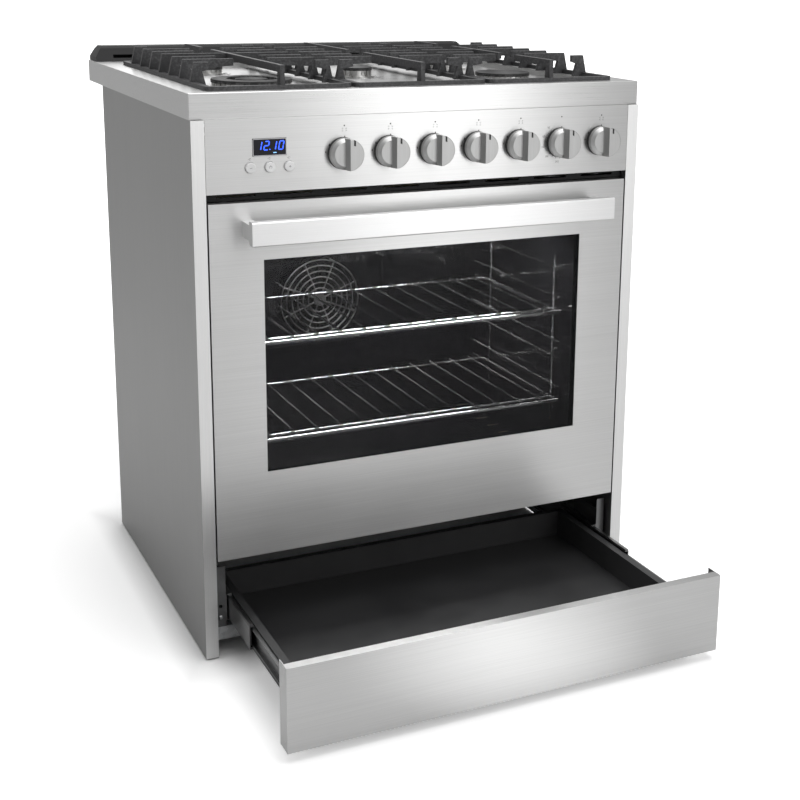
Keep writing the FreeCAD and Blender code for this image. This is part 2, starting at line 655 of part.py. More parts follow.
def oven_insulation():
    """Glass-wool jacket round the cavity."""
    outside = box(-WOOL_HALF, WOOL_HALF, FRAME_FRONT + 4, WOOL_BACK, WOOL_BOTTOM, WOOL_TOP)
    room = box(-CAVITY_HALF - 1.5, CAVITY_HALF + 1.5, FRAME_FRONT, CAVITY_BACK + 1.5, CAVITY_FLOOR - 1.5,
               CAVITY_TOP + 1.5)
    burner_box = box(-275, 275, 60, 440, 184, CAVITY_FLOOR)
    hinge_rooms = [box(side * HINGE_X - 6, side * HINGE_X + 6, FRAME_FRONT, 84, 160, 192) for side in (-1, 1)]
    passages = [
        cylinder(9, (FAN_X, 440, FAN_Z), Y_AXIS, 60),
        cylinder(20, (LAMP_X, 440, LAMP_Z), Y_AXIS, 60),
        cylinder(BURNER_TUBE + 2, (0, 430, BAKE_Z), Y_AXIS, 60),
        cylinder(BURNER_TUBE + 2, (0, 430, BROIL_Z), Y_AXIS, 60),
    ]
    return cut(outside.cut(room), [burner_box] + hinge_rooms + passages)


def hinge_receivers():
    """Steel hooks that reach out of the oven to the hinge pins, with a running eye round each pin."""
    arm = join([
        box(-HINGE_X - 2, -HINGE_X + 2, PIVOT_Y, 80, PIVOT_Z - 6, PIVOT_Z + 8),
        cylinder(8, (-HINGE_X - 2, PIVOT_Y, PIVOT_Z), X_AXIS, 4),
        box(-HINGE_X - 4, -HINGE_X + 4, FRAME_FRONT + 2, 82, PIVOT_Z - 10, 186),
    ])
    arm = arm.cut(cylinder(4.05, (-HINGE_X - 5, PIVOT_Y, PIVOT_Z), X_AXIS, 10))
    return both_sides(arm)


def rack_guides():
    """Chromed wire ladders on the cavity's side walls."""
    x = -CAVITY_HALF + 6
    pieces = []
    for y in GUIDE_POSTS:
        pieces.append(cylinder(2.5, (x, y, 280), Z_AXIS, 300))
    for level in RACK_LEVELS.values():
        for drop in (5.9, -22.0):
            pieces.append(cylinder(2.5, (x + 3.5, GUIDE_FRONT, level - drop), Y_AXIS, GUIDE_LENGTH))
    for z in (400.0, 430.0, 560.0):
        pieces.append(cylinder(2.5, (x + 3.5, GUIDE_FRONT, z), Y_AXIS, GUIDE_LENGTH))
    for y in GUIDE_POSTS:
        for z in (300.0, 560.0):
            pieces.append(cylinder(2.5, (-CAVITY_HALF + 0.3, y, z), X_AXIS, 7))
    return both_sides(join(pieces))


def oven_rack(level):
    """A chromed wire rack: side rods, three cross rods and wires running front to back over them."""
    rod = 3.0
    wire = 1.9
    wire_z = level + rod + wire - 0.6
    pieces = []
    for y in (RACK_FRONT + 4, RACK_FRONT + 26, RACK_BACK - 4):
        radius = 3.6 if y == RACK_FRONT + 4 else 2.4
        pieces.append(cylinder(radius, (-RACK_HALF, y, level), X_AXIS, 2 * RACK_HALF))
    for x in (-RACK_HALF, RACK_HALF):
        pieces.append(cylinder(rod, (x, RACK_FRONT + 4, level), Y_AXIS, RACK_BACK - RACK_FRONT - 8))
        for y in (RACK_FRONT + 4, RACK_BACK - 4):
            pieces.append(Part.makeSphere(3.6 if y < 100 else rod, FreeCAD.Vector(x, y, level)))
    count = int(2 * RACK_HALF // RACK_WIRE_PITCH)
    first = -RACK_WIRE_PITCH * (count - 1) / 2
    for index in range(count):
        x = first + RACK_WIRE_PITCH * index
        pieces.append(cylinder(wire, (x, RACK_FRONT + 2.5, wire_z), Y_AXIS, RACK_BACK - RACK_FRONT - 5))
    return join(pieces)


def fan_cover():
    """Round wire guard in front of the fan: rings on radial spokes, standing off the back wall."""
    y = CAVITY_BACK - GUARD_STANDOFF
    hub = 12.0
    step = (GUARD_RADIUS - hub) / GUARD_RINGS
    centre = FreeCAD.Vector(FAN_X, y, FAN_Z)
    pieces = [Part.makeTorus(hub + step * (index + 1), GUARD_WIRE, centre, Y_AXIS)
              for index in range(GUARD_RINGS)]
    for index in range(GUARD_SPOKES):
        spoke = cylinder(GUARD_WIRE + 0.1, (hub - 2, 0, 0), X_AXIS, GUARD_RADIUS - hub + 2)
        spoke.rotate(FreeCAD.Vector(0, 0, 0), Y_AXIS, 360 / GUARD_SPOKES * (index + 0.5))
        spoke.translate(FreeCAD.Vector(FAN_X, y + 2.0, FAN_Z))
        pieces.append(spoke)
    pieces.append(cylinder(hub, (FAN_X, y - 1, FAN_Z), Y_AXIS, 3))
    for index in range(4):
        angle = math.radians(90 * index + 22.5)
        x = FAN_X + GUARD_RADIUS * math.cos(angle)
        z = FAN_Z - GUARD_RADIUS * math.sin(angle)
        pieces.append(cylinder(2, (x, y, z), Y_AXIS, GUARD_STANDOFF - 0.2))
    return join(pieces)


def fan_wheel():
    """Convection fan: a back disc with radial blades on a hub and shaft."""
    back = CAVITY_BACK - 3
    pieces = [
        cylinder(FAN_RADIUS, (FAN_X, back - 1.2, FAN_Z), Y_AXIS, 1.2),
        cylinder(9, (FAN_X, back - 12, FAN_Z), Y_AXIS, 12),
        cylinder(4, (FAN_X, back - 5, FAN_Z), Y_AXIS, 38),
    ]
    for index in range(FAN_BLADES):
        blade = box(24, FAN_RADIUS - 2, back - 12, back - 0.6, -0.8, 0.8)
        blade.rotate(FreeCAD.Vector(0, 0, 0), Y_AXIS, 360 / FAN_BLADES * index)
        blade.translate(FreeCAD.Vector(FAN_X, 0, FAN_Z))
        pieces.append(blade)
    return join(pieces)


def fan_motor():
    return join([
        ring(38, 4.06, (FAN_X, 484, FAN_Z), Y_AXIS, 42),
        box(FAN_X - 45, FAN_X + 45, 482, 484.5, FAN_Z - 45, FAN_Z + 45).cut(
            cylinder(5.5, (FAN_X, 480, FAN_Z), Y_AXIS, 20)),
    ])


def oven_lamp():
    """Lamp holder behind the back wall and its domed glass inside the cavity."""
    dome = Part.makeSphere(15, FreeCAD.Vector(LAMP_X, CAVITY_BACK - 4, 605))
    dome = dome.common(box(LAMP_X - 25, LAMP_X + 25, CAVITY_BACK - 30, CAVITY_BACK + 1,
                               LAMP_Z - 25, LAMP_Z + 25))
    holder = cylinder(15, (LAMP_X, CAVITY_BACK, LAMP_Z), Y_AXIS, 45)
    return join([dome, holder])


def tube_burner(z):
    """Straight steel burner tube down the middle of the cavity, closed in front, fed from behind."""
    tube = cylinder(BURNER_TUBE, (0, 90, z), Y_AXIS, 420)
    nose = Part.makeSphere(BURNER_TUBE, FreeCAD.Vector(0, 90, z))
    wings = [box(-13, 13, 110 + 52 * row, 114 + 52 * row, z - 3, z + 3) for row in range(6)]
    bore = cylinder(BURNER_TUBE - 2, (0, 90, z), Y_AXIS, 430)
    return join([tube, nose] + wings).cut(bore)


# ---------------------------------------------------------------- door

def door_outer_panel():
    face = box(-DOOR_HALF, DOOR_HALF, FACE, FACE + SHEET, DOOR_BOTTOM, DOOR_TOP)
    returns = [
        box(-DOOR_HALF, -DOOR_HALF + SHEET, FACE, DOOR_SHELL_BACK, DOOR_BOTTOM, DOOR_TOP),
        box(DOOR_HALF - SHEET, DOOR_HALF, FACE, DOOR_SHELL_BACK, DOOR_BOTTOM, DOOR_TOP),
        box(-DOOR_HALF, DOOR_HALF, FACE, DOOR_SHELL_BACK, DOOR_TOP - SHEET, DOOR_TOP),
        box(-DOOR_HALF, DOOR_HALF, FACE, DOOR_SHELL_BACK, DOOR_BOTTOM, DOOR_BOTTOM + SHEET),
    ]
    window = box(-WINDOW_HALF, WINDOW_HALF, FACE - 1, FACE + 3, WINDOW_BOTTOM, WINDOW_TOP)
    notches = [box(sign * HINGE_X - 14, sign * HINGE_X + 14, FACE + 3, DOOR_SHELL_BACK + 1,
                   DOOR_BOTTOM - 1, DOOR_BOTTOM + 3) for sign in (-1, 1)]
    bolt_holes = [cylinder(2.6, (sign * HANDLE_BOLT_X, FACE - 1, HANDLE_BOLT_Z), Y_AXIS, 4)
                  for sign in (-1, 1)]
    return cut(join([face] + returns), [window] + notches + bolt_holes)


def door_window_glass():
    return box(-WINDOW_HALF - 16, WINDOW_HALF + 16, FACE + SHEET, FACE + SHEET + GLASS_THICKNESS,
               WINDOW_BOTTOM - 16, WINDOW_TOP + 16)


def door_inner_panel():
    """Black inner shell with a window, closed round its edge up to the outer shell."""
    half = DOOR_HALF - 1.6
    low = INNER_PANEL_BOTTOM
    high = DOOR_TOP - 1.6
    back = box(-half, half, DOOR_BACK - SHEET, DOOR_BACK, low, high)
    rims = [
        box(-half, -half + SHEET, 4, DOOR_BACK, low, high),
        box(half - SHEET, half, 4, DOOR_BACK, low, high),
        box(-half, half, 4, DOOR_BACK, high - SHEET, high),
        box(-half, half, 4, DOOR_BACK, low, low + SHEET),
    ]
    sight = box(-SIGHT_HALF, SIGHT_HALF, DOOR_BACK - 3, DOOR_BACK + 1, SIGHT_BOTTOM, SIGHT_TOP)
    notches = [box(sign * HINGE_X - 13, sign * HINGE_X + 13, 3, DOOR_BACK - SHEET, low - 1, low + 3)
               for sign in (-1, 1)]
    return cut(join([back] + rims), [sight] + notches)


def door_inner_glass():
    half = SIGHT_HALF + GLASS_LAP
    back = DOOR_BACK - SHEET
    return box(-half, half, back - GLASS_THICKNESS, back, SIGHT_BOTTOM - GLASS_LAP, SIGHT_TOP + GLASS_LAP)


def door_gasket():
    """Braided seal round the cavity mouth, pressed flat between door and oven."""
    inner = rounded_gasket_outline(CAVITY_HALF + 8, CAVITY_FLOOR - 10, CAVITY_TOP + 8, 14)
    outer = rounded_gasket_outline(CAVITY_HALF + 16, CAVITY_FLOOR - 16, CAVITY_TOP + 16, 20)
    return outer.cut(inner)


def rounded_gasket_outline(half, low, high, radius):
    block = box(-half, half, DOOR_BACK, FRAME_FRONT - 0.4, low, high)
    return round_edges(block, radius, lambda e: runs_along(e, Y_AXIS))


def door_hinge_arms():
    """Pressed hinge bodies inside the door with the pin that the receivers' eyes turn on."""
    back = DOOR_BACK - SHEET
    body = box(-HINGE_X - 12, -HINGE_X + 12, 8, back, 186, 300)
    body = body.cut(box(-HINGE_X - 9, -HINGE_X + 9, 11, back + 1, 185, 301))
    pin = cylinder(4, (-HINGE_X - 11, PIVOT_Y, PIVOT_Z), X_AXIS, 22)
    cheeks = [box(-HINGE_X + sign * 10.5 - 1.5, -HINGE_X + sign * 10.5 + 1.5, 8, 24, 170, 190)
              for sign in (-1, 1)]
    arm = join([body, pin] + cheeks)
    return both_sides(arm)


def door_handle():
    """Flat-faced bar on two standoff posts, bolted through the door's face."""
    bar = box(-HANDLE_HALF, HANDLE_HALF, HANDLE_FRONT, HANDLE_FRONT + HANDLE_THICKNESS,
              HANDLE_BOTTOM, HANDLE_TOP)
    bar = round_edges(bar, 2.2, lambda e: runs_along(e, X_AXIS))
    posts = []
    for sign in (-1, 1):
        low = sign * HANDLE_BOLT_X - POST_HALF_WIDTH
        high = sign * HANDLE_BOLT_X + POST_HALF_WIDTH
        post = box(low, high, HANDLE_FRONT + HANDLE_THICKNESS - 1, FACE - 0.1,
                   HANDLE_BOLT_Z - POST_HALF_HEIGHT, HANDLE_BOLT_Z + POST_HALF_HEIGHT)
        stud = cylinder(2.5, (sign * HANDLE_BOLT_X, FACE - 1, HANDLE_BOLT_Z), Y_AXIS, 6.4)
        posts += [post, stud]
    return join([bar] + posts)


# ---------------------------------------------------------------- drawer

def drawer_front():
    """Folded stainless front: deep side flanges, short top and bottom flanges, and a stiffener behind."""
    y = DRAWER_FRONT
    half = DRAWER_FRONT_HALF
    low = DRAWER_FRONT_BOTTOM
    high = DRAWER_FRONT_TOP
    return join([
        box(-half, half, y, y + SHEET, low, high),
        box(-half, -half + SHEET, y, y + 30, low, high),
        box(half - SHEET, half, y, y + 30, low, high),
        box(-half, half, y, y + 15, high - SHEET, high),
        box(-half, half, y, y + 15, low, low + SHEET),
        box(-half, half, y + 13.8, y + 15, 34, high),
    ])


def drawer_box():
    """Black sheet tray: hemmed hollow walls with a flat rim, and a floor between them."""
    high = BOX_RIM
    floor = box(-BOX_HALF + BOX_WALL - 1, BOX_HALF - BOX_WALL + 1, BOX_FRONT, BOX_BACK - BOX_WALL + 1,
                BOX_FLOOR, BOX_FLOOR + SHEET)
    wall = box(-BOX_HALF, -BOX_HALF + BOX_WALL, BOX_FRONT, BOX_BACK, BOX_FLOOR, high).cut(
        box(-BOX_HALF + SHEET, -BOX_HALF + BOX_WALL - SHEET, BOX_FRONT + SHEET, BOX_BACK - SHEET,
            BOX_FLOOR - 1, high - SHEET))
    back = box(-BOX_HALF, BOX_HALF, BOX_BACK - BOX_WALL, BOX_BACK, BOX_FLOOR, high).cut(
        box(-BOX_HALF + SHEET, BOX_HALF - SHEET, BOX_BACK - BOX_WALL + SHEET, BOX_BACK - SHEET,
            BOX_FLOOR - 1, high - SHEET))
    front = box(-BOX_HALF, BOX_HALF, BOX_FRONT, BOX_FRONT + SHEET, BOX_FLOOR, high)
    return join([floor, wall, mirrored(wall), back, front])


def channel(x_web, x_lip, y0, y1, z0, z1):
    """A slide member: a web with an inward lip along its top and bottom."""
    web = sorted((x_web, x_web + math.copysign(SHEET, x_lip - x_web)))
    lip = sorted((x_web, x_lip))
    return join([
        box(web[0], web[1], y0, y1, z0, z1),
        box(lip[0], lip[1], y0, y1, z0, z0 + SHEET),
        box(lip[0], lip[1], y0, y1, z1 - SHEET, z1),
    ])


def slide_outer():
    """Outer members with the angle brackets welded to them, front and back."""
    member = channel(-340.2, -330.0, BRACKET_Y, BRACKET_Y + SLIDE_LENGTH, SLIDE_BOTTOM, SLIDE_TOP)
    brackets = [
        box(-354.8, -340.2, BRACKET_Y, BRACKET_Y + 1.5, RAIL_TOP, 146),
        box(-341.7, -340.2, BRACKET_Y, 90, RAIL_TOP + 3, 128),
        box(-377, -340.2, 470, 471.5, RAIL_TOP, 140),
        box(-341.7, -340.2, 420, 471.5, RAIL_TOP + 3, 120),
    ]
    holes = [
        cylinder(SCREW_HOLE, (-349, BRACKET_Y - 1, 60), Y_AXIS, 4),
        cylinder(3.0, (-349, BRACKET_Y - 1, 79), Y_AXIS, 4),
    ]
    return both_sides(cut(join([member] + brackets), holes))


def slide_middle():
    """Middle member with a ball cage above and below it and a stop block at its front end."""
    front = -100.0
    back = front + 390
    member = channel(-337.0, -330.0, front, back, SLIDE_BOTTOM + 4, SLIDE_TOP - 4)
    cages = []
    for z in (SLIDE_BOTTOM + 1.6, SLIDE_TOP - 3.6):
        cages.append(box(-336.5, -331.0, front, back, z, z + 2.0))
    stop = box(-335.8, -334.2, front, front + 16, SLIDE_BOTTOM + 9, SLIDE_TOP - 9)
    shapes = []
    for shape in [member, stop] + cages:
        shapes += both_sides(shape)
    return shapes


def slide_inner():
    y0 = DRAWER_FRONT + 30.4
    y1 = y0 + 420
    return both_sides(channel(-BOX_HALF, -333.4, y0, y1, SLIDE_BOTTOM + 8.6, SLIDE_TOP - 8.6))


def main():
    os.makedirs("parts", exist_ok=True)

    save("left_side_panel", side_panel())
    save("right_side_panel", mirrored(side_panel()))
    save("base_frame", base_frame())
    save("levelling_feet", *levelling_feet())
    save("casing_screws", *casing_screws())
    save("rear_panel", rear_panel())
    save("drawer_heat_shield", drawer_heat_shield())
    save("cooktop_pan", cooktop_pan())
    save("rear_trim", rear_trim())

    save("control_panel", control_panel())
    save("vent_strip", vent_strip())
    save("knob_collars", *knob_collars())
    for number, x in enumerate(knob_places(), start=1):
        save("knob_" + str(number), *knob(x))
    save("clock_display", clock_display())
    save("clock_module", clock_module())
    for number, x in enumerate(button_places(), start=1):
        save("clock_button_" + str(number), clock_button(x))
    save("gas_manifold", gas_manifold())
    save("gas_inlet", gas_inlet())
    save("power_gland", power_gland())

    save("burner_heads", *burner_heads())
    for name in BURNERS:
        save("burner_cap_" + name, *burner_cap(name))
    split_in = GRATE_SPLIT - GRATE_GAP
    split_out = GRATE_SPLIT + GRATE_GAP
    left_ridges = [(GRATE_FRONT, 402), (466, GRATE_BACK)]
    centre_ridges = [(GRATE_FRONT, 268), (344, GRATE_BACK)]
    right_ridges = [(GRATE_FRONT, 150), (206, 402), (466, GRATE_BACK)]
    save("grate_left", grate(-GRATE_HALF, -split_out, -RIDGE_X, left_ridges, 26, 18, True))
    save("grate_centre", grate(-split_in, split_in, 0.0, centre_ridges, 18, 18, False))
    save("grate_right", grate(split_out, GRATE_HALF, RIDGE_X, right_ridges, 18, 26, True))

    save("oven_liner", oven_liner())
    save("oven_face_frame", oven_face_frame())
    save("oven_insulation", oven_insulation())
    save("hinge_receivers", *hinge_receivers())
    save("rack_guides", *rack_guides())
    for name, level in RACK_LEVELS.items():
        save("oven_rack_" + name, oven_rack(level))
    save("fan_cover", fan_cover())
    save("fan_wheel", fan_wheel())
    save("fan_motor", fan_motor())
    save("oven_lamp", oven_lamp())
    save("oven_burners", tube_burner(BAKE_Z), tube_burner(BROIL_Z))

    save("door_outer_panel", door_outer_panel())
    save("door_window_glass", door_window_glass())
    save("door_inner_panel", door_inner_panel())
    save("door_inner_glass", door_inner_glass())
    save("door_gasket", door_gasket())
    save("door_hinge_arms", *door_hinge_arms())
    save("door_handle", door_handle())

    save("drawer_front", drawer_front())
    save("drawer_box", drawer_box())
    save("drawer_slides_outer", *slide_outer())
    save("drawer_slides_middle", *slide_middle())
    save("drawer_slides_inner", *slide_inner())


main()
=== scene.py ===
import math

import bmesh
import bpy
from mathutils import Euler, Matrix, Vector


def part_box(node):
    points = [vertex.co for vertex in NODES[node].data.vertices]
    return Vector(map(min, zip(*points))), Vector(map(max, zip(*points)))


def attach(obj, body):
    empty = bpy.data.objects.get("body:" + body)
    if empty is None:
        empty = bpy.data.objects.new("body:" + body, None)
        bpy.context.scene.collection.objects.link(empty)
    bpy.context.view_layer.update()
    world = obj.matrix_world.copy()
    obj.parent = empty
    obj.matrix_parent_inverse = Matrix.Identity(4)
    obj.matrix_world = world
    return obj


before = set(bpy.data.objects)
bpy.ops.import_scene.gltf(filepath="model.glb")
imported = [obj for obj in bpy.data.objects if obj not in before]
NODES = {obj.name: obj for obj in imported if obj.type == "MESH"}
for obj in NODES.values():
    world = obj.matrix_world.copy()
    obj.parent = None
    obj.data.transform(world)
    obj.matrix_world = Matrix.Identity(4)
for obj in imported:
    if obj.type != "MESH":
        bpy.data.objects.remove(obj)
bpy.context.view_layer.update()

scene = bpy.context.scene
MM = 0.001

# ------------------------------------------------------------------ node helpers


def new_material(name):
    mat = bpy.data.materials.new(name)
    mat.use_nodes = True
    tree = mat.node_tree
    shader = tree.nodes["Principled BSDF"]
    return mat, tree, shader


def add(tree, kind, **settings):
    node = tree.nodes.new(kind)
    for key, value in settings.items():
        setattr(node, key, value)
    return node


def coords(tree, scale=(1, 1, 1)):
    """Object coordinates in metres, stretched by scale."""
    texture = add(tree, "ShaderNodeTexCoord")
    mapping = add(tree, "ShaderNodeMapping")
    mapping.inputs["Scale"].default_value = scale
    tree.links.new(texture.outputs["Object"], mapping.inputs["Vector"])
    return mapping.outputs["Vector"]


def noise(tree, vector, scale=1.0, detail=2.0, rough=0.5):
    node = add(tree, "ShaderNodeTexNoise")
    node.inputs["Scale"].default_value = scale
    node.inputs["Detail"].default_value = detail
    node.inputs["Roughness"].default_value = rough
    tree.links.new(vector, node.inputs["Vector"])
    return node.outputs["Fac"]


def ramp(tree, value, low, high, out_low=0.0, out_high=1.0):
    node = add(tree, "ShaderNodeMapRange")
    node.inputs["From Min"].default_value = low
    node.inputs["From Max"].default_value = high
    node.inputs["To Min"].default_value = out_low
    node.inputs["To Max"].default_value = out_high
    tree.links.new(value, node.inputs["Value"])
    return node.outputs["Result"]


# the colour sockets of a mix node share their names with its number sockets, so they go by index
MIX_FACTOR, MIX_A, MIX_B, MIX_RESULT = 0, 6, 7, 2


def mix_colour(tree, factor, dark, light):
    """Blends two colours, each a tuple or a socket."""
    node = add(tree, "ShaderNodeMix", data_type="RGBA")
    tree.links.new(factor, node.inputs[MIX_FACTOR])
    for index, colour in ((MIX_A, dark), (MIX_B, light)):
        if isinstance(colour, tuple):
            node.inputs[index].default_value = (*colour, 1)
        else:
            tree.links.new(colour, node.inputs[index])
    return node.outputs[MIX_RESULT]


def combine(tree, operation, a, b):
    node = add(tree, "ShaderNodeMath", operation=operation)
    for socket, value in zip(node.inputs, (a, b)):
        if isinstance(value, (int, float)):
            socket.default_value = value
        else:
            tree.links.new(value, socket)
    return node.outputs[0]


def bump(tree, shader, height, strength, distance, normal=None):
    node = add(tree, "ShaderNodeBump")
    node.inputs["Strength"].default_value = strength
    node.inputs["Distance"].default_value = distance
    tree.links.new(height, node.inputs["Height"])
    if normal is not None:
        tree.links.new(normal, node.inputs["Normal"])
    tree.links.new(node.outputs["Normal"], shader.inputs["Normal"])
    return node.outputs["Normal"]


def edge_wear(tree):
    """0 on flat ground, 1 on convex edges."""
    geometry = add(tree, "ShaderNodeNewGeometry")
    return ramp(tree, geometry.outputs["Pointiness"], 0.51, 0.58)


# ------------------------------------------------------------------ materials


def brushed(name, dark, light, roughness, axis, grain=1700.0, spread=0.02, aniso=0.4, streak=0.12,
            front=None):
    """Brushed sheet: hair-fine lines along one axis, wider soft streaks and faint smudges.

    front is a second pair of colours for the faces that look to the front.
    """
    mat, tree, shader = new_material(name)
    along = {"X": 0, "Y": 1, "Z": 2}[axis]
    fine_scale = [grain] * 3
    fine_scale[along] = 6.0
    wide_scale = [grain / 12] * 3
    wide_scale[along] = 0.8
    fine = noise(tree, coords(tree, fine_scale), 1.0, 3.0, 0.6)
    wide = noise(tree, coords(tree, wide_scale), 1.0, 2.0)
    smudge = noise(tree, coords(tree), 5.0, 4.0, 0.6)
    grain_mix = combine(tree, "ADD", combine(tree, "MULTIPLY", fine, 1 - streak),
                        combine(tree, "MULTIPLY", wide, streak))
    colour = mix_colour(tree, ramp(tree, grain_mix, 0.3, 0.7), dark, light)
    # A colour switch by facing: lighter colours on the front faces carry painted sheen.
    if front is not None:
        front_facing_sheen = add(tree, "ShaderNodeSeparateXYZ")
        tree.links.new(add(tree, "ShaderNodeTexCoord").outputs["Normal"], front_facing_sheen.inputs[0])
        colour = mix_colour(tree, ramp(tree, front_facing_sheen.outputs["Y"], -0.5, -0.8), colour,
                            mix_colour(tree, ramp(tree, grain_mix, 0.3, 0.7), *front))
    tree.links.new(colour, shader.inputs["Base Color"])
    rough = combine(tree, "ADD", ramp(tree, fine, 0.3, 0.7, roughness - spread, roughness + spread),
                    ramp(tree, smudge, 0.35, 0.7, -0.008, 0.014))
    tree.links.new(rough, shader.inputs["Roughness"])
    shader.inputs["Metallic"].default_value = 1.0
    shader.inputs["Anisotropic"].default_value = aniso
    grain_line = add(tree, "ShaderNodeCombineXYZ")
    grain_line.inputs[along].default_value = 1.0
    shader.inputs["Anisotropic Rotation"].default_value = 0.25
    tree.links.new(grain_line.outputs[0], shader.inputs["Tangent"])
    bump(tree, shader, fine, 0.04, 0.00002)
    return mat


def painted(name, dark, light, roughness, grain=900.0, bump_depth=0.00006, coat=0.0, wear=None,
            specular=0.5):
    """Powder coat or enamel: slight orange peel, uneven gloss, and wear along edges."""
    mat, tree, shader = new_material(name)
    peel = noise(tree, coords(tree), grain, 2.0)
    cloud = noise(tree, coords(tree), 9.0, 4.0, 0.6)
    colour = mix_colour(tree, ramp(tree, cloud, 0.3, 0.7), dark, light)
    if wear is not None:
        patches = ramp(tree, noise(tree, coords(tree), 160.0, 3.0), 0.45, 0.62)
        scuff = combine(tree, "MULTIPLY", edge_wear(tree), patches)
        colour = mix_colour(tree, scuff, colour, wear)
    tree.links.new(colour, shader.inputs["Base Color"])
    tree.links.new(ramp(tree, cloud, 0.3, 0.7, roughness - 0.04, roughness + 0.06),
                   shader.inputs["Roughness"])
    shader.inputs["Specular IOR Level"].default_value = specular
    shader.inputs["Coat Weight"].default_value = coat
    shader.inputs["Coat Roughness"].default_value = 0.05
    bump(tree, shader, peel, 0.35, bump_depth)
    return mat


def cast_iron():
    mat, tree, shader = new_material("cast_iron_enamelled")
    sand = noise(tree, coords(tree), 1500.0, 3.0, 0.7)
    lump = noise(tree, coords(tree), 260.0, 2.0)
    cloud = noise(tree, coords(tree), 14.0, 4.0)
    colour = mix_colour(tree, ramp(tree, cloud, 0.3, 0.7), (0.017, 0.017, 0.018), (0.034, 0.034, 0.036))
    scuff = combine(tree, "MULTIPLY", edge_wear(tree), ramp(tree, lump, 0.4, 0.7, 0.2, 0.9))
    tree.links.new(mix_colour(tree, scuff, colour, (0.09, 0.09, 0.093)), shader.inputs["Base Color"])
    tree.links.new(ramp(tree, sand, 0.3, 0.7, 0.42, 0.62), shader.inputs["Roughness"])
    first = bump(tree, shader, lump, 0.25, 0.00025)
    bump(tree, shader, sand, 0.5, 0.00010, first)
    return mat


def galvanised():
    """Zinc coat: soft spangle of crystal patches with different sheen."""
    mat, tree, shader = new_material("galvanised_steel")
    cells = add(tree, "ShaderNodeTexVoronoi")
    cells.inputs["Scale"].default_value = 130.0
    tree.links.new(coords(tree), cells.inputs["Vector"])
    tone = add(tree, "ShaderNodeSeparateColor")
    tree.links.new(cells.outputs["Color"], tone.inputs["Color"])
    cloud = noise(tree, coords(tree), 20.0, 3.0)
    level = combine(tree, "ADD", combine(tree, "MULTIPLY", tone.outputs[0], 0.5),
                    combine(tree, "MULTIPLY", cloud, 0.5))
    tree.links.new(mix_colour(tree, ramp(tree, level, 0.2, 0.8), (0.55, 0.56, 0.57), (0.75, 0.76, 0.77)),
                   shader.inputs["Base Color"])
    tree.links.new(ramp(tree, level, 0.2, 0.8, 0.26, 0.44), shader.inputs["Roughness"])
    shader.inputs["Metallic"].default_value = 1.0
    bump(tree, shader, noise(tree, coords(tree), 700.0, 2.0), 0.15, 0.00005)
    return mat


def bright_wire():
    mat, tree, shader = new_material("chromed_wire")
    cloud = noise(tree, coords(tree), 60.0, 3.0)
    tree.links.new(mix_colour(tree, ramp(tree, cloud, 0.3, 0.7), (0.83, 0.84, 0.85), (0.93, 0.93, 0.93)),
                   shader.inputs["Base Color"])
    tree.links.new(ramp(tree, cloud, 0.3, 0.7, 0.10, 0.22), shader.inputs["Roughness"])
    shader.inputs["Metallic"].default_value = 1.0
    bump(tree, shader, noise(tree, coords(tree), 900.0, 2.0), 0.1, 0.00004)
    return mat


def cast_alloy():
    mat, tree, shader = new_material("burner_alloy")
    cloud = noise(tree, coords(tree), 90.0, 4.0)
    tree.links.new(mix_colour(tree, ramp(tree, cloud, 0.3, 0.7), (0.62, 0.61, 0.60), (0.84, 0.84, 0.83)),
                   shader.inputs["Base Color"])
    tree.links.new(ramp(tree, cloud, 0.3, 0.7, 0.24, 0.4), shader.inputs["Roughness"])
    shader.inputs["Metallic"].default_value = 1.0
    bump(tree, shader, noise(tree, coords(tree), 1300.0, 2.0), 0.3, 0.00008)
    return mat


def plastic(name, dark, light, roughness, grain=1600.0):
    mat, tree, shader = new_material(name)
    fine = noise(tree, coords(tree), grain, 2.0)
    cloud = noise(tree, coords(tree), 40.0, 3.0)
    tree.links.new(mix_colour(tree, ramp(tree, cloud, 0.3, 0.7), dark, light), shader.inputs["Base Color"])
    tree.links.new(ramp(tree, fine, 0.3, 0.7, roughness - 0.05, roughness + 0.06),
                   shader.inputs["Roughness"])
    bump(tree, shader, fine, 0.25, 0.00006)
    return mat


def tinted_glass(name, tint, alpha, roughness=0.02):
    """Dark sheet glass with a faint film of fine dust."""
    mat, tree, shader = new_material(name)
    dust = noise(tree, coords(tree), 35.0, 5.0, 0.7)
    shader.inputs["Base Color"].default_value = (*tint, 1)
    tree.links.new(ramp(tree, dust, 0.4, 0.75, roughness, roughness + 0.03), shader.inputs["Roughness"])
    tree.links.new(ramp(tree, dust, 0.45, 0.8, alpha, alpha + 0.03), shader.inputs["Alpha"])
    shader.inputs["Specular IOR Level"].default_value = 0.3
    shader.inputs["IOR"].default_value = 1.5
    return mat


def braided():
    mat, tree, shader = new_material("gasket_braid")
    wave = add(tree, "ShaderNodeTexWave", wave_type="BANDS", bands_direction="DIAGONAL")
    wave.inputs["Scale"].default_value = 320.0
    wave.inputs["Distortion"].default_value = 2.0
    tree.links.new(coords(tree), wave.inputs["Vector"])
    tree.links.new(mix_colour(tree, wave.outputs["Fac"], (0.05, 0.05, 0.05), (0.16, 0.16, 0.155)),
                   shader.inputs["Base Color"])
    shader.inputs["Roughness"].default_value = 0.85
    bump(tree, shader, wave.outputs["Fac"], 0.6, 0.0003)
    return mat


def wool():
    mat, tree, shader = new_material("glass_wool")
    fibre = noise(tree, coords(tree, (60, 600, 600)), 1.0, 5.0, 0.7)
    tree.links.new(mix_colour(tree, ramp(tree, fibre, 0.3, 0.7), (0.52, 0.44, 0.26), (0.80, 0.74, 0.55)),
                   shader.inputs["Base Color"])
    shader.inputs["Roughness"].default_value = 0.95
    bump(tree, shader, fibre, 0.8, 0.001)
    return mat


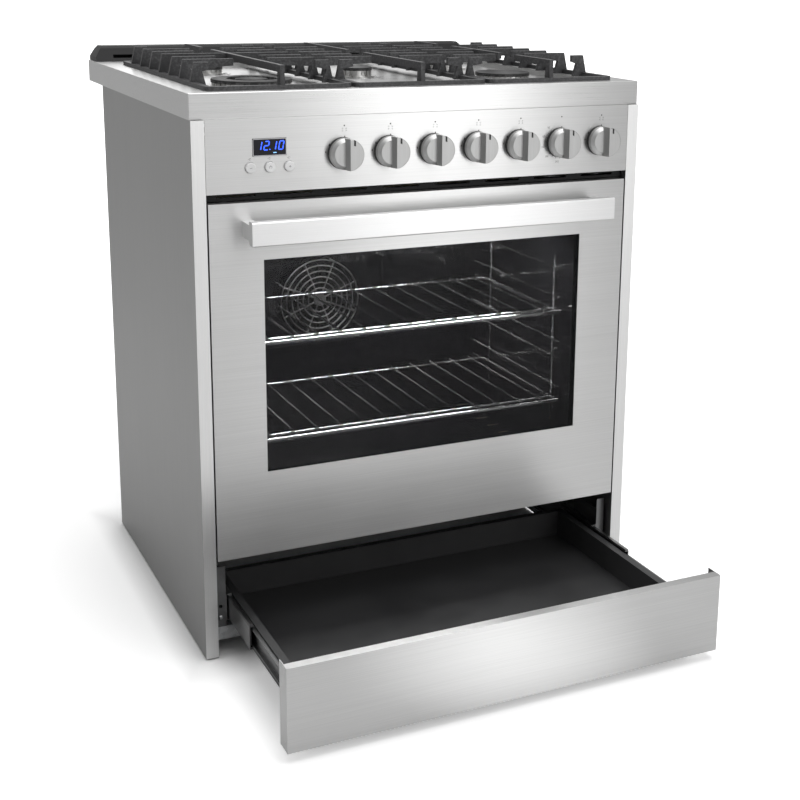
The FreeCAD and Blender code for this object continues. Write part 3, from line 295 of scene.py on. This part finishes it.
def printed(name, colour, glow=0.0):
    """Ink or lit segments: barely uneven colour so that it isn't dead flat."""
    mat, tree, shader = new_material(name)
    speck = noise(tree, coords(tree), 2500.0, 2.0)
    dark = tuple(channel * 0.8 for channel in colour)
    tree.links.new(mix_colour(tree, ramp(tree, speck, 0.3, 0.7), dark, colour), shader.inputs["Base Color"])
    tree.links.new(ramp(tree, speck, 0.3, 0.7, 0.4, 0.55), shader.inputs["Roughness"])
    if glow:
        shader.inputs["Emission Color"].default_value = (*colour, 1)
        shader.inputs["Emission Strength"].default_value = glow
    return mat


STEEL_DARK = (0.60, 0.60, 0.597)
STEEL_LIGHT = (0.68, 0.68, 0.677)
steel_front = brushed("stainless_front", STEEL_DARK, STEEL_LIGHT, 0.31, "X", aniso=0.75)
# The side panels' faces that look to the front get a lighter colour than the stainless front: partly their
# stainless front strip, partly painted sheen that makes them look brighter lit.
steel_side = brushed("painted_steel_side", (0.34, 0.34, 0.338), (0.40, 0.40, 0.398), 0.36, "Z",
                     front=((0.86, 0.86, 0.856), (0.93, 0.93, 0.926)))
steel_top = brushed("stainless_top", STEEL_DARK, STEEL_LIGHT, 0.29, "X", aniso=0.6)
handle_steel = brushed("handle_steel", (0.80, 0.80, 0.80), (0.86, 0.86, 0.86), 0.34, "X", aniso=0.6)
knob_metal = brushed("knob_metal", (0.44, 0.44, 0.437), (0.54, 0.54, 0.536), 0.40, "Z",
                     grain=2200.0, aniso=0.0)
black_powder = painted("black_powder_coat", (0.005, 0.005, 0.0055), (0.010, 0.010, 0.0105), 0.42,
                       specular=0.22)
drawer_black = painted("drawer_powder_coat", (0.020, 0.020, 0.021), (0.032, 0.032, 0.033), 0.42,
                       grain=1300.0)
enamel = painted("oven_enamel", (0.006, 0.006, 0.007), (0.012, 0.012, 0.013), 0.16, grain=420.0, coat=0.5)
cap_enamel = painted("cap_enamel", (0.012, 0.012, 0.012), (0.022, 0.022, 0.023), 0.42,
                     wear=(0.10, 0.10, 0.10))
iron = cast_iron()
zinc = galvanised()
wire = bright_wire()
alloy = cast_alloy()
fan_steel = brushed("fan_steel", (0.035, 0.035, 0.035), (0.07, 0.07, 0.07), 0.40, "X", aniso=0.0)
guard_wire = brushed("guard_wire", (0.30, 0.30, 0.30), (0.40, 0.40, 0.40), 0.30, "X", aniso=0.0)
slide_steel = brushed("slide_steel", (0.17, 0.17, 0.172), (0.26, 0.26, 0.263), 0.30, "Y", aniso=0.3)
gas_tube = brushed("gas_tube_steel", (0.42, 0.42, 0.42), (0.58, 0.58, 0.58), 0.38, "X")
brass = brushed("machined_brass", (0.55, 0.40, 0.16), (0.74, 0.57, 0.26), 0.28, "Y")
black_plastic = plastic("black_plastic", (0.010, 0.010, 0.010), (0.02, 0.02, 0.02), 0.45)
white_plastic = plastic("button_white", (0.72, 0.72, 0.72), (0.84, 0.84, 0.84), 0.30)
display_black = plastic("display_window", (0.004, 0.004, 0.008), (0.008, 0.008, 0.014), 0.12)
rim_silver = plastic("display_rim", (0.45, 0.45, 0.46), (0.58, 0.58, 0.59), 0.35)
window_glass = tinted_glass("window_glass", (0.006, 0.006, 0.007), 0.30)
inner_glass = tinted_glass("inner_glass", (0.02, 0.02, 0.02), 0.10)
lamp_glass = tinted_glass("lamp_glass", (0.8, 0.8, 0.75), 0.5)
gasket_braid = braided()
glass_wool = wool()
ink = printed("panel_ink", (0.03, 0.03, 0.03))
pointer_ink = printed("pointer_black", (0.01, 0.01, 0.01))
symbol_ink = printed("symbol_grey", (0.20, 0.20, 0.21))
digit_blue = printed("digit_blue", (0.03, 0.10, 1.0), 2.2)
bar_blue = printed("bar_blue", (0.25, 0.55, 1.0), 1.0)
ceramic = plastic("spark_ceramic", (0.78, 0.77, 0.74), (0.90, 0.89, 0.86), 0.28)

FINISH = {
    steel_side: ["left_side_panel", "right_side_panel"],
    steel_top: ["cooktop_pan"],
    steel_front: ["control_panel", "door_outer_panel", "drawer_front"],
    handle_steel: ["door_handle"],
    knob_metal: ["knob_%d" % n for n in range(1, 8)],
    black_powder: ["rear_trim", "vent_strip", "door_inner_panel", "oven_face_frame"],
    drawer_black: ["drawer_box"],
    enamel: ["oven_liner"],
    guard_wire: ["fan_cover"],
    iron: ["grate_left", "grate_centre", "grate_right"],
    cap_enamel: [name for name in NODES if name.startswith("burner_cap_")],
    zinc: ["base_frame", "casing_screws", "rear_panel", "drawer_heat_shield", "hinge_receivers",
           "door_hinge_arms", "fan_motor"],
    slide_steel: ["drawer_slides_outer", "drawer_slides_middle", "drawer_slides_inner"],
    wire: ["oven_rack_upper", "oven_rack_lower", "rack_guides"],
    alloy: ["burner_heads"],
    fan_steel: ["fan_wheel"],
    gas_tube: ["gas_manifold", "oven_burners"],
    brass: ["gas_inlet"],
    black_plastic: ["knob_collars", "clock_module", "power_gland", "levelling_feet"],
    white_plastic: ["clock_button_1", "clock_button_2", "clock_button_3"],
    display_black: ["clock_display"],
    window_glass: ["door_window_glass"],
    inner_glass: ["door_inner_glass"],
    lamp_glass: ["oven_lamp"],
    gasket_braid: ["door_gasket"],
    glass_wool: ["oven_insulation"],
}
for finish, names in FINISH.items():
    for name in names:
        NODES[name].data.materials.clear()
        NODES[name].data.materials.append(finish)

# ------------------------------------------------------------------ softened edges on the CAD pieces

BEVELS = {
    # width in mm: nodes
    1.3: ["grate_left", "grate_centre", "grate_right"],
    0.5: ["door_handle", "drawer_box", "rear_trim"],
    0.35: ["door_outer_panel", "drawer_front", "control_panel", "left_side_panel", "right_side_panel"],
}
for width, names in BEVELS.items():
    for name in names:
        modifier = NODES[name].modifiers.new("edge", "BEVEL")
        modifier.width = width * MM
        modifier.segments = 2
        modifier.limit_method = "ANGLE"
        modifier.angle_limit = math.radians(40)
        modifier.harden_normals = True

# ------------------------------------------------------------------ mesh helpers


def mesh_object(name, bm, material, body):
    mesh = bpy.data.meshes.new(name)
    bm.to_mesh(mesh)
    bm.free()
    mesh.materials.append(material)
    obj = bpy.data.objects.new(name, mesh)
    scene.collection.objects.link(obj)
    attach(obj, body)
    return obj


def add_prism(bm, outline, y_front, y_back):
    """Extrudes an outline of (x, z) points from y_front to y_back."""
    front = [bm.verts.new((x, y_front, z)) for x, z in outline]
    back = [bm.verts.new((x, y_back, z)) for x, z in outline]
    bm.faces.new(front)
    bm.faces.new(back[::-1])
    count = len(outline)
    for i in range(count):
        j = (i + 1) % count
        bm.faces.new((front[i], back[i], back[j], front[j]))


def disc_outline(x, z, radius, steps=20):
    return [(x + radius * math.cos(math.tau * i / steps), z + radius * math.sin(math.tau * i / steps))
            for i in range(steps)]


def bar_outline(x0, z0, x1, z1, width):
    """A straight stroke between two points."""
    direction = Vector((x1 - x0, z1 - z0)).normalized()
    side = Vector((-direction.y, direction.x)) * (width / 2)
    return [(x0 + side.x, z0 + side.y), (x0 - side.x, z0 - side.y), (x1 - side.x, z1 - side.y),
            (x1 + side.x, z1 + side.y)]


def arc_outline(x, z, radius, width, start, end, steps=16):
    outer = []
    inner = []
    for i in range(steps + 1):
        angle = math.radians(start + (end - start) * i / steps)
        for rim, reach in ((outer, radius + width / 2), (inner, radius - width / 2)):
            rim.append((x + reach * math.cos(angle), z + reach * math.sin(angle)))
    return outer + inner[::-1]


# ------------------------------------------------------------------ control panel prints

INK_DEPTH = 0.06 * MM
PANEL_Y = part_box("control_panel")[0].y
knob_centres = []
TEMPERATURE_KNOB = 5
for number in range(1, 8):
    low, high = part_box("knob_%d" % number)
    knob_centres.append(((low.x + high.x) / 2, (low.z + high.z) / 2))


def print_on(name, outlines, y, material, body):
    bm = bmesh.new()
    for outline in outlines:
        add_prism(bm, outline, y - INK_DEPTH, y + INK_DEPTH)
    bmesh.ops.recalc_face_normals(bm, faces=bm.faces)
    return mesh_object(name, bm, material, body)


def flame_outline(x, z, size):
    """A small teardrop flame."""
    points = []
    for i in range(14):
        angle = math.tau * i / 14
        pull = 1.0 + 0.9 * max(0.0, math.sin(angle)) ** 3
        points.append((x + size * 0.7 * math.cos(angle), z + size * math.sin(angle) * pull))
    return points


# (x from the knob's axis, z from the knob's axis, size)
UPPER_DOT = (3 * MM, 41.5 * MM, 1.15 * MM)
LOWER_DOT = (3.5 * MM, 25.2 * MM, 0.95 * MM)
LARGE_FLAME = (-21 * MM, 12.5 * MM, 1.6 * MM)
SMALL_FLAME = (-27 * MM, 2 * MM, 1.1 * MM)
SCALE_ANGLES = (128, 144, 160, 176, 192, 208, 224, 240, 256, 272, 288)
TICK_START = 24.5 * MM
TICK_END = 26.5 * MM
TICK_WIDTH = 0.55 * MM
PLAN_CENTRE = (3, 35.5)
PLAN_RING = 0.9 * MM
PLAN_LINE = 0.28 * MM


def knob_scale(index, x, z):
    """Marks round one knob: two dots, then ticks on the oven's knob, or a burner plan and two flames."""
    marks = [disc_outline(x + dx, z + dz, size, steps) for (dx, dz, size), steps in
             ((UPPER_DOT, 14), (LOWER_DOT, 12))]
    if index == TEMPERATURE_KNOB:
        for angle in SCALE_ANGLES:
            dx, dz = math.cos(math.radians(angle)), math.sin(math.radians(angle))
            marks.append(bar_outline(x + TICK_START * dx, z + TICK_START * dz,
                                     x + TICK_END * dx, z + TICK_END * dz, TICK_WIDTH))
        return marks
    for dx, dz in ((-3, 3), (3, 3), (-3, -3), (3, -3)):
        marks.append(arc_outline(x + (PLAN_CENTRE[0] + dx) * MM, z + (PLAN_CENTRE[1] + dz * 0.55) * MM,
                                 PLAN_RING, PLAN_LINE, 0, 360, 14))
    for dx, dz, size in (LARGE_FLAME, SMALL_FLAME):
        marks.append(flame_outline(x + dx, z + dz, size))
    return marks


SEGMENTS = {
    "0": "abcdef", "1": "bc", "2": "abged", "3": "abgcd", "4": "fgbc", "5": "afgcd", "6": "afgecd",
    "7": "abc", "8": "abcdefg", "9": "abcdfg",
}


def digit_outlines(text, left, base, height, stroke, pitch, slant):
    """Seven-segment figures as strokes, leaning by slant."""
    width = height * 0.52
    gap = stroke * 0.35
    corners = {"a": ((0, 1), (1, 1)), "b": ((1, 1), (1, 0.5)), "c": ((1, 0.5), (1, 0)),
               "d": ((0, 0), (1, 0)), "e": ((0, 0), (0, 0.5)), "f": ((0, 0.5), (0, 1)),
               "g": ((0, 0.5), (1, 0.5))}
    outlines = []
    x = left
    for figure in text:
        if figure == ".":
            outlines.append(disc_outline(x - pitch * 0.16, base + stroke * 0.4, stroke * 0.6, 12))
            continue
        for segment in SEGMENTS[figure]:
            (u0, v0), (u1, v1) = corners[segment]
            start = Vector((u0 * width, v0 * height))
            end = Vector((u1 * width, v1 * height))
            trim = (end - start).normalized() * gap
            start, end = start + trim, end - trim
            outlines.append(bar_outline(x + start.x + slant * start.y, base + start.y,
                                        x + end.x + slant * end.y, base + end.y, stroke))
        x += pitch
    return outlines


marks = []
for index, (x, z) in enumerate(knob_centres):
    marks += knob_scale(index, x, z)
print_on("panel_marks", marks, PANEL_Y, ink, "body")

NUMBER_REACH = 31.5 * MM
NUMBER_HEIGHT = 2.6 * MM
small_numbers = []
x, z = knob_centres[TEMPERATURE_KNOB]
for value, angle in ((50, 128), (100, 160), (150, 192), (200, 224), (250, 264)):
    direction = Vector((math.cos(math.radians(angle)), math.sin(math.radians(angle))))
    centre = Vector((x, z)) + direction * NUMBER_REACH
    small_numbers += digit_outlines(str(value), centre.x - 3.2 * MM, centre.y - NUMBER_HEIGHT / 2,
                                    NUMBER_HEIGHT, 0.4 * MM, 2.2 * MM, 0)
print_on("oven_scale_numbers", small_numbers, PANEL_Y, ink, "body")

# display: rim, digits and the lit bar under them
display_low, display_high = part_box("clock_display")
display_mid = (display_low + display_high) / 2


def rounded_outline(low, high, radius, inset=0.0, steps=5):
    points = []
    x0, x1, z0, z1 = low[0] + inset, high[0] - inset, low[1] + inset, high[1] - inset
    for cx, cz, start in ((x1 - radius, z1 - radius, 0), (x0 + radius, z1 - radius, 90),
                          (x0 + radius, z0 + radius, 180), (x1 - radius, z0 + radius, 270)):
        for i in range(steps + 1):
            angle = math.radians(start + 90 * i / steps)
            points.append((cx + radius * math.cos(angle), cz + radius * math.sin(angle)))
    return points


def frame_mesh(name, outer, inner, y_front, y_back, material, body):
    """A flat frame between two outlines with the same number of points."""
    bm = bmesh.new()
    loops = [[bm.verts.new((x, y, z)) for x, z in outline] for outline, y in
             ((outer, y_front), (inner, y_front), (inner, y_back), (outer, y_back))]
    count = len(outer)
    for a, b in ((0, 1), (1, 2), (2, 3), (3, 0)):
        for i in range(count):
            j = (i + 1) % count
            bm.faces.new((loops[a][i], loops[b][i], loops[b][j], loops[a][j]))
    bmesh.ops.recalc_face_normals(bm, faces=bm.faces)
    return mesh_object(name, bm, material, body)


screen_low = (display_low.x, display_low.z)
screen_high = (display_high.x, display_high.z)
frame_mesh("display_rim", rounded_outline(screen_low, screen_high, 2.2 * MM),
           rounded_outline(screen_low, screen_high, 1.2 * MM, 1.1 * MM),
           display_low.y - 0.25 * MM, display_low.y + 0.5 * MM, rim_silver, "body")
DIGIT_HEIGHT = 12.5 * MM
digits = digit_outlines("12.10", display_low.x + 5.5 * MM, display_mid.z - 4.0 * MM, DIGIT_HEIGHT, 1.5 * MM,
                        11.3 * MM, 0.2)
print_on("clock_digits", digits, display_low.y - 0.05 * MM, digit_blue, "body")
bar_x = display_low.x + 31.5 * MM
bar_z = display_low.z + 4.4 * MM
print_on("clock_bar", [bar_outline(bar_x, bar_z, bar_x + 5.0 * MM, bar_z, 1.3 * MM)],
         display_low.y - 0.05 * MM, bar_blue, "body")

for number in (1, 2, 3):
    low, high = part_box("clock_button_%d" % number)
    x, z = (low.x + high.x) / 2, (low.z + high.z) / 2
    strokes = [bar_outline(x - 1.8 * MM, z, x + 1.8 * MM, z, 0.6 * MM)]
    if number == 3:
        strokes.append(bar_outline(x, z - 1.8 * MM, x, z + 1.8 * MM, 0.6 * MM))
    if number == 2:
        strokes = [arc_outline(x, z, 2.0 * MM, 0.5 * MM, -60, 240),
                   bar_outline(x, z, x, z + 2.6 * MM, 0.5 * MM)]
    print_on("button_symbol_%d" % number, strokes, low.y, symbol_ink, "button_%d" % number)
    print_on("button_legend_%d" % number,
             [arc_outline(x, z + 12.6 * MM, 1.3 * MM, 0.4 * MM, 0, 300),
              bar_outline(x - 3.2 * MM, z + 12.6 * MM, x - 2.0 * MM, z + 12.6 * MM, 0.4 * MM)],
             PANEL_Y, ink, "body")

# knob pointers: a black line along the top of the raised grip, following its curve, and down its face
POINTER_HALF = 1.5 * MM
POINTER_X = 8.6 * MM
POINTER_DROP = 8.5 * MM
POINTER_LENGTH = 22 * MM
POINTER_PROUD = 0.12 * MM
POINTER_DEPTH = 0.4 * MM
for number, (x, z) in enumerate(knob_centres, start=1):
    low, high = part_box("knob_%d" % number)
    radius = (high.x - low.x) / 2
    bm = bmesh.new()
    sections = []
    front = low.y - POINTER_PROUD
    inside = low.y + POINTER_DEPTH
    end = low.y + POINTER_LENGTH
    for step in range(5):
        dx = POINTER_X + POINTER_HALF * (step / 2 - 1)
        crown = z + math.sqrt(radius ** 2 - dx ** 2)
        top = crown + POINTER_PROUD
        under = crown - POINTER_DEPTH
        profile = [(front, crown - POINTER_DROP), (front, crown - 0.5 * MM), (front + 0.5 * MM, top),
                   (end, top), (end, under), (low.y + 1.2 * MM, under), (inside, crown - 1.2 * MM),
                   (inside, crown - POINTER_DROP)]
        sections.append([bm.verts.new((x + dx, y, zz)) for y, zz in profile])
    bm.faces.new(sections[0])
    bm.faces.new(sections[-1][::-1])
    count = len(sections[0])
    for first, second in zip(sections, sections[1:]):
        for i in range(count):
            j = (i + 1) % count
            bm.faces.new((first[i], second[i], second[j], first[j]))
    bmesh.ops.recalc_face_normals(bm, faces=bm.faces)
    mesh_object("knob_pointer_%d" % number, bm, pointer_ink, "knob_%d_body" % number)

# rivets through the side flanges of the drawer's front

RIVET_RADIUS = 3.4 * MM
RIVET_CROWN = 0.55
RIVET_PROUD = 0.8 * MM
RIVET_SETBACK = 9 * MM
RIVET_INSET = 14 * MM
front_low, front_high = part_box("drawer_front")
for side_name, face_x, outwards in (("left", front_low.x, -1), ("right", front_high.x, 1)):
    for row, rivet_z in enumerate((front_low.z + RIVET_INSET, front_high.z - RIVET_INSET)):
        bm = bmesh.new()
        bmesh.ops.create_cone(bm, cap_ends=True, segments=24, radius1=RIVET_RADIUS,
                              radius2=RIVET_RADIUS * RIVET_CROWN, depth=2 * RIVET_PROUD)
        bmesh.ops.rotate(bm, verts=bm.verts, matrix=Matrix.Rotation(outwards * math.pi / 2, 3, "Y"))
        bmesh.ops.translate(bm, verts=bm.verts, vec=(face_x, front_low.y + RIVET_SETBACK, rivet_z))
        mesh_object("drawer_rivet_%s_%d" % (side_name, row + 1), bm, steel_front, "drawer")

# ceramic sleeves round the spark pins beside the burners

THROAT_DEPTH = 26 * MM
DISC_HEIGHT = 2.2 * MM
PIN_GAP = 3 * MM
SLEEVE_RADIUS = 2.7 * MM
SLEEVE_TAPER = 0.85
PIN_ANGLE_RIGHT = math.radians(160)
PIN_ANGLE_LEFT = math.radians(20)
SLEEVE_SHARE = 0.55
well_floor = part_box("burner_heads")[0].z + THROAT_DEPTH
for name in ("front_left", "rear_left", "centre", "front_right", "rear_right"):
    low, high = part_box("burner_cap_" + name)
    cap_x, cap_y = (low.x + high.x) / 2, (low.y + high.y) / 2
    reach = (high.x - low.x) / 2 + PIN_GAP
    angle = PIN_ANGLE_RIGHT if cap_x > 0 else PIN_ANGLE_LEFT
    sleeve_base = well_floor + DISC_HEIGHT
    sleeve_height = SLEEVE_SHARE * (low.z - sleeve_base)
    pin_x = cap_x + reach * math.cos(angle)
    pin_y = cap_y + reach * math.sin(angle)
    bm = bmesh.new()
    bmesh.ops.create_cone(bm, cap_ends=True, segments=20, radius1=SLEEVE_RADIUS,
                          radius2=SLEEVE_RADIUS * SLEEVE_TAPER, depth=sleeve_height)
    bmesh.ops.translate(bm, verts=bm.verts, vec=(pin_x, pin_y, sleeve_base + sleeve_height / 2))
    mesh_object("spark_sleeve_" + name, bm, ceramic, "body")

# ------------------------------------------------------------------ lights, stage, camera

# The camera sees a pale floor that glows to white far away, less near the object and not under it: painted
# shade round and under the object.
# Every other ray meets a darker floor, painted shade in what the metal mirrors, with one glowing patch in
# front of the drawer: a painted pool of light that the drawer's front shows as a painted highlight.
FLOOR_SIZE = 60.0
GLOW_FADE = (0.72, 2.3)
GLOW_LEVELS = (0.32, 1.0)
BESIDE_FADE = (0.385, 0.43)
AHEAD_FADE = (-0.18, -0.26)
BEHIND_FADE = (0.41, 0.50)
FLOOR_SEEN = (0.92, 0.92, 0.92)
FLOOR_SHADED_FOR_REFLECTIONS = (0.62, 0.62, 0.62)
PAINTED_POOL_CENTRE = (0.07, -0.73, 0)
PAINTED_POOL_FADE = (0.03, 0.27)
PAINTED_POOL_LEVEL = 1.05
floor_mesh = bmesh.new()
bmesh.ops.create_grid(floor_mesh, x_segments=1, y_segments=1, size=FLOOR_SIZE)
floor_data = bpy.data.meshes.new("floor")
floor_mesh.to_mesh(floor_data)
floor_mesh.free()
floor = bpy.data.objects.new("floor", floor_data)
scene.collection.objects.link(floor)
floor_mat, floor_tree, floor_shader = new_material("studio_floor")
floor_shader.inputs["Roughness"].default_value = 1.0
floor_shader.inputs["Specular IOR Level"].default_value = 0.0
far = add(floor_tree, "ShaderNodeVectorMath", operation="LENGTH")
floor_coords = add(floor_tree, "ShaderNodeTexCoord")
floor_tree.links.new(floor_coords.outputs["Object"], far.inputs[0])
floor_shader.inputs["Emission Color"].default_value = (1, 1, 1, 1)
# Glow fades near the object: painted shade round it.
floor_glow = ramp(floor_tree, far.outputs["Value"], *GLOW_FADE, *GLOW_LEVELS)
floor_xyz = add(floor_tree, "ShaderNodeSeparateXYZ")
floor_tree.links.new(floor_coords.outputs["Object"], floor_xyz.inputs[0])
# No glow over the object's footprint: painted shade under it.
beside = ramp(floor_tree, combine(floor_tree, "ABSOLUTE", floor_xyz.outputs["X"], 0.0), *BESIDE_FADE)
ahead = ramp(floor_tree, floor_xyz.outputs["Y"], *AHEAD_FADE)
behind = ramp(floor_tree, floor_xyz.outputs["Y"], *BEHIND_FADE)
outside = combine(floor_tree, "MAXIMUM", beside, combine(floor_tree, "MAXIMUM", ahead, behind))
camera_ray = add(floor_tree, "ShaderNodeLightPath").outputs["Is Camera Ray"]
# Reflections see a darker floor colour: painted shade in what the metal mirrors.
floor_tree.links.new(mix_colour(floor_tree, camera_ray, FLOOR_SHADED_FOR_REFLECTIONS, FLOOR_SEEN),
                     floor_shader.inputs["Base Color"])
seen = combine(floor_tree, "MULTIPLY", floor_glow, camera_ray)
# A glowing patch only reflections see: a painted pool of light, which the drawer's front shows as a painted
# highlight.
pool_distance = add(floor_tree, "ShaderNodeVectorMath", operation="DISTANCE")
pool_distance.inputs[1].default_value = PAINTED_POOL_CENTRE
floor_tree.links.new(floor_coords.outputs["Object"], pool_distance.inputs[0])
painted_light_pool = ramp(floor_tree, pool_distance.outputs["Value"], *PAINTED_POOL_FADE, PAINTED_POOL_LEVEL, 0.0)
painted_pool_in_reflections = combine(floor_tree, "MULTIPLY", painted_light_pool, combine(floor_tree, "SUBTRACT", 1.0, camera_ray))
floor_tree.links.new(combine(floor_tree, "ADD", combine(floor_tree, "MULTIPLY", seen, outside), painted_pool_in_reflections),
                     floor_shader.inputs["Emission Strength"])
floor_data.materials.append(floor_mat)


def area_light(name, place, target, size, power, size_y=None):
    data = bpy.data.lights.new(name, "AREA")
    data.energy = power
    data.size = size
    if size_y:
        data.shape = "RECTANGLE"
        data.size_y = size_y
    light = bpy.data.objects.new(name, data)
    light.location = place
    light.rotation_euler = (Vector(target) - Vector(place)).to_track_quat("-Z", "Y").to_euler()
    scene.collection.objects.link(light)
    return light


TARGET = (0, -0.1, 0.5)
area_light("key_front", (1.3, -2.9, 1.05), (0, -0.2, 0.55), 0.7, 8.5, 2.1)
area_light("top", (0.3, -0.2, 3.0), TARGET, 2.6, 36)
area_light("fill_left", (-3.0, 0.3, 1.4), TARGET, 1.8, 4)
cavity_low, cavity_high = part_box("oven_liner")
cavity_lamp = area_light("cavity_lamp", (0, cavity_low.y + 0.05, cavity_high.z - 0.035),
                         (0, cavity_low.y + 0.16, cavity_low.z), 0.5, 4.5, 0.05)
cavity_lamp.visible_camera = False

# The world is white to the camera. For every other ray it is a little brighter overhead, brightest
# in a band just right of the middle, and darker on both sides of that band.
HEIGHT_TONE = (0.0, 0.9, 0.62, 0.75)
RIGHT_TONE = (0.24, 0.56, 2.35, 0.55)
LEFT_TONE = (-0.2, 0.15, 0.27, 1.0)
world = bpy.data.worlds.new("studio")
scene.world = world
world.use_nodes = True
tree = world.node_tree
background = tree.nodes["Background"]
direction = add(tree, "ShaderNodeTexCoord")
split = add(tree, "ShaderNodeSeparateXYZ")
tree.links.new(direction.outputs["Generated"], split.inputs[0])
height = ramp(tree, split.outputs["Z"], *HEIGHT_TONE)
right = ramp(tree, split.outputs["X"], *RIGHT_TONE)
left = ramp(tree, split.outputs["X"], *LEFT_TONE)
tone = combine(tree, "MULTIPLY", height, combine(tree, "MULTIPLY", right, left))
path = add(tree, "ShaderNodeLightPath")
level = combine(tree, "MAXIMUM", tone, path.outputs["Is Camera Ray"])
tree.links.new(level, background.inputs["Strength"])
background.inputs["Color"].default_value = (1, 1, 1, 1)

scene.view_settings.view_transform = "Standard"

camera_data = bpy.data.cameras.new("camera")
camera = bpy.data.objects.new("camera", camera_data)
scene.collection.objects.link(camera)
scene.camera = camera
CAMERA_PLACE = (-0.8954, -2.1262, 1.0735)
CAMERA_TURN = (76.65, -0.83, -25.93)
camera.location = CAMERA_PLACE
camera.rotation_euler = Euler([math.radians(angle) for angle in CAMERA_TURN], "XYZ")
camera_data.sensor_width = 36
camera_data.lens = 61.98
camera_data.shift_x = -0.075
camera_data.shift_y = -0.14
camera_data.clip_start = 0.05
camera_data.clip_end = 60
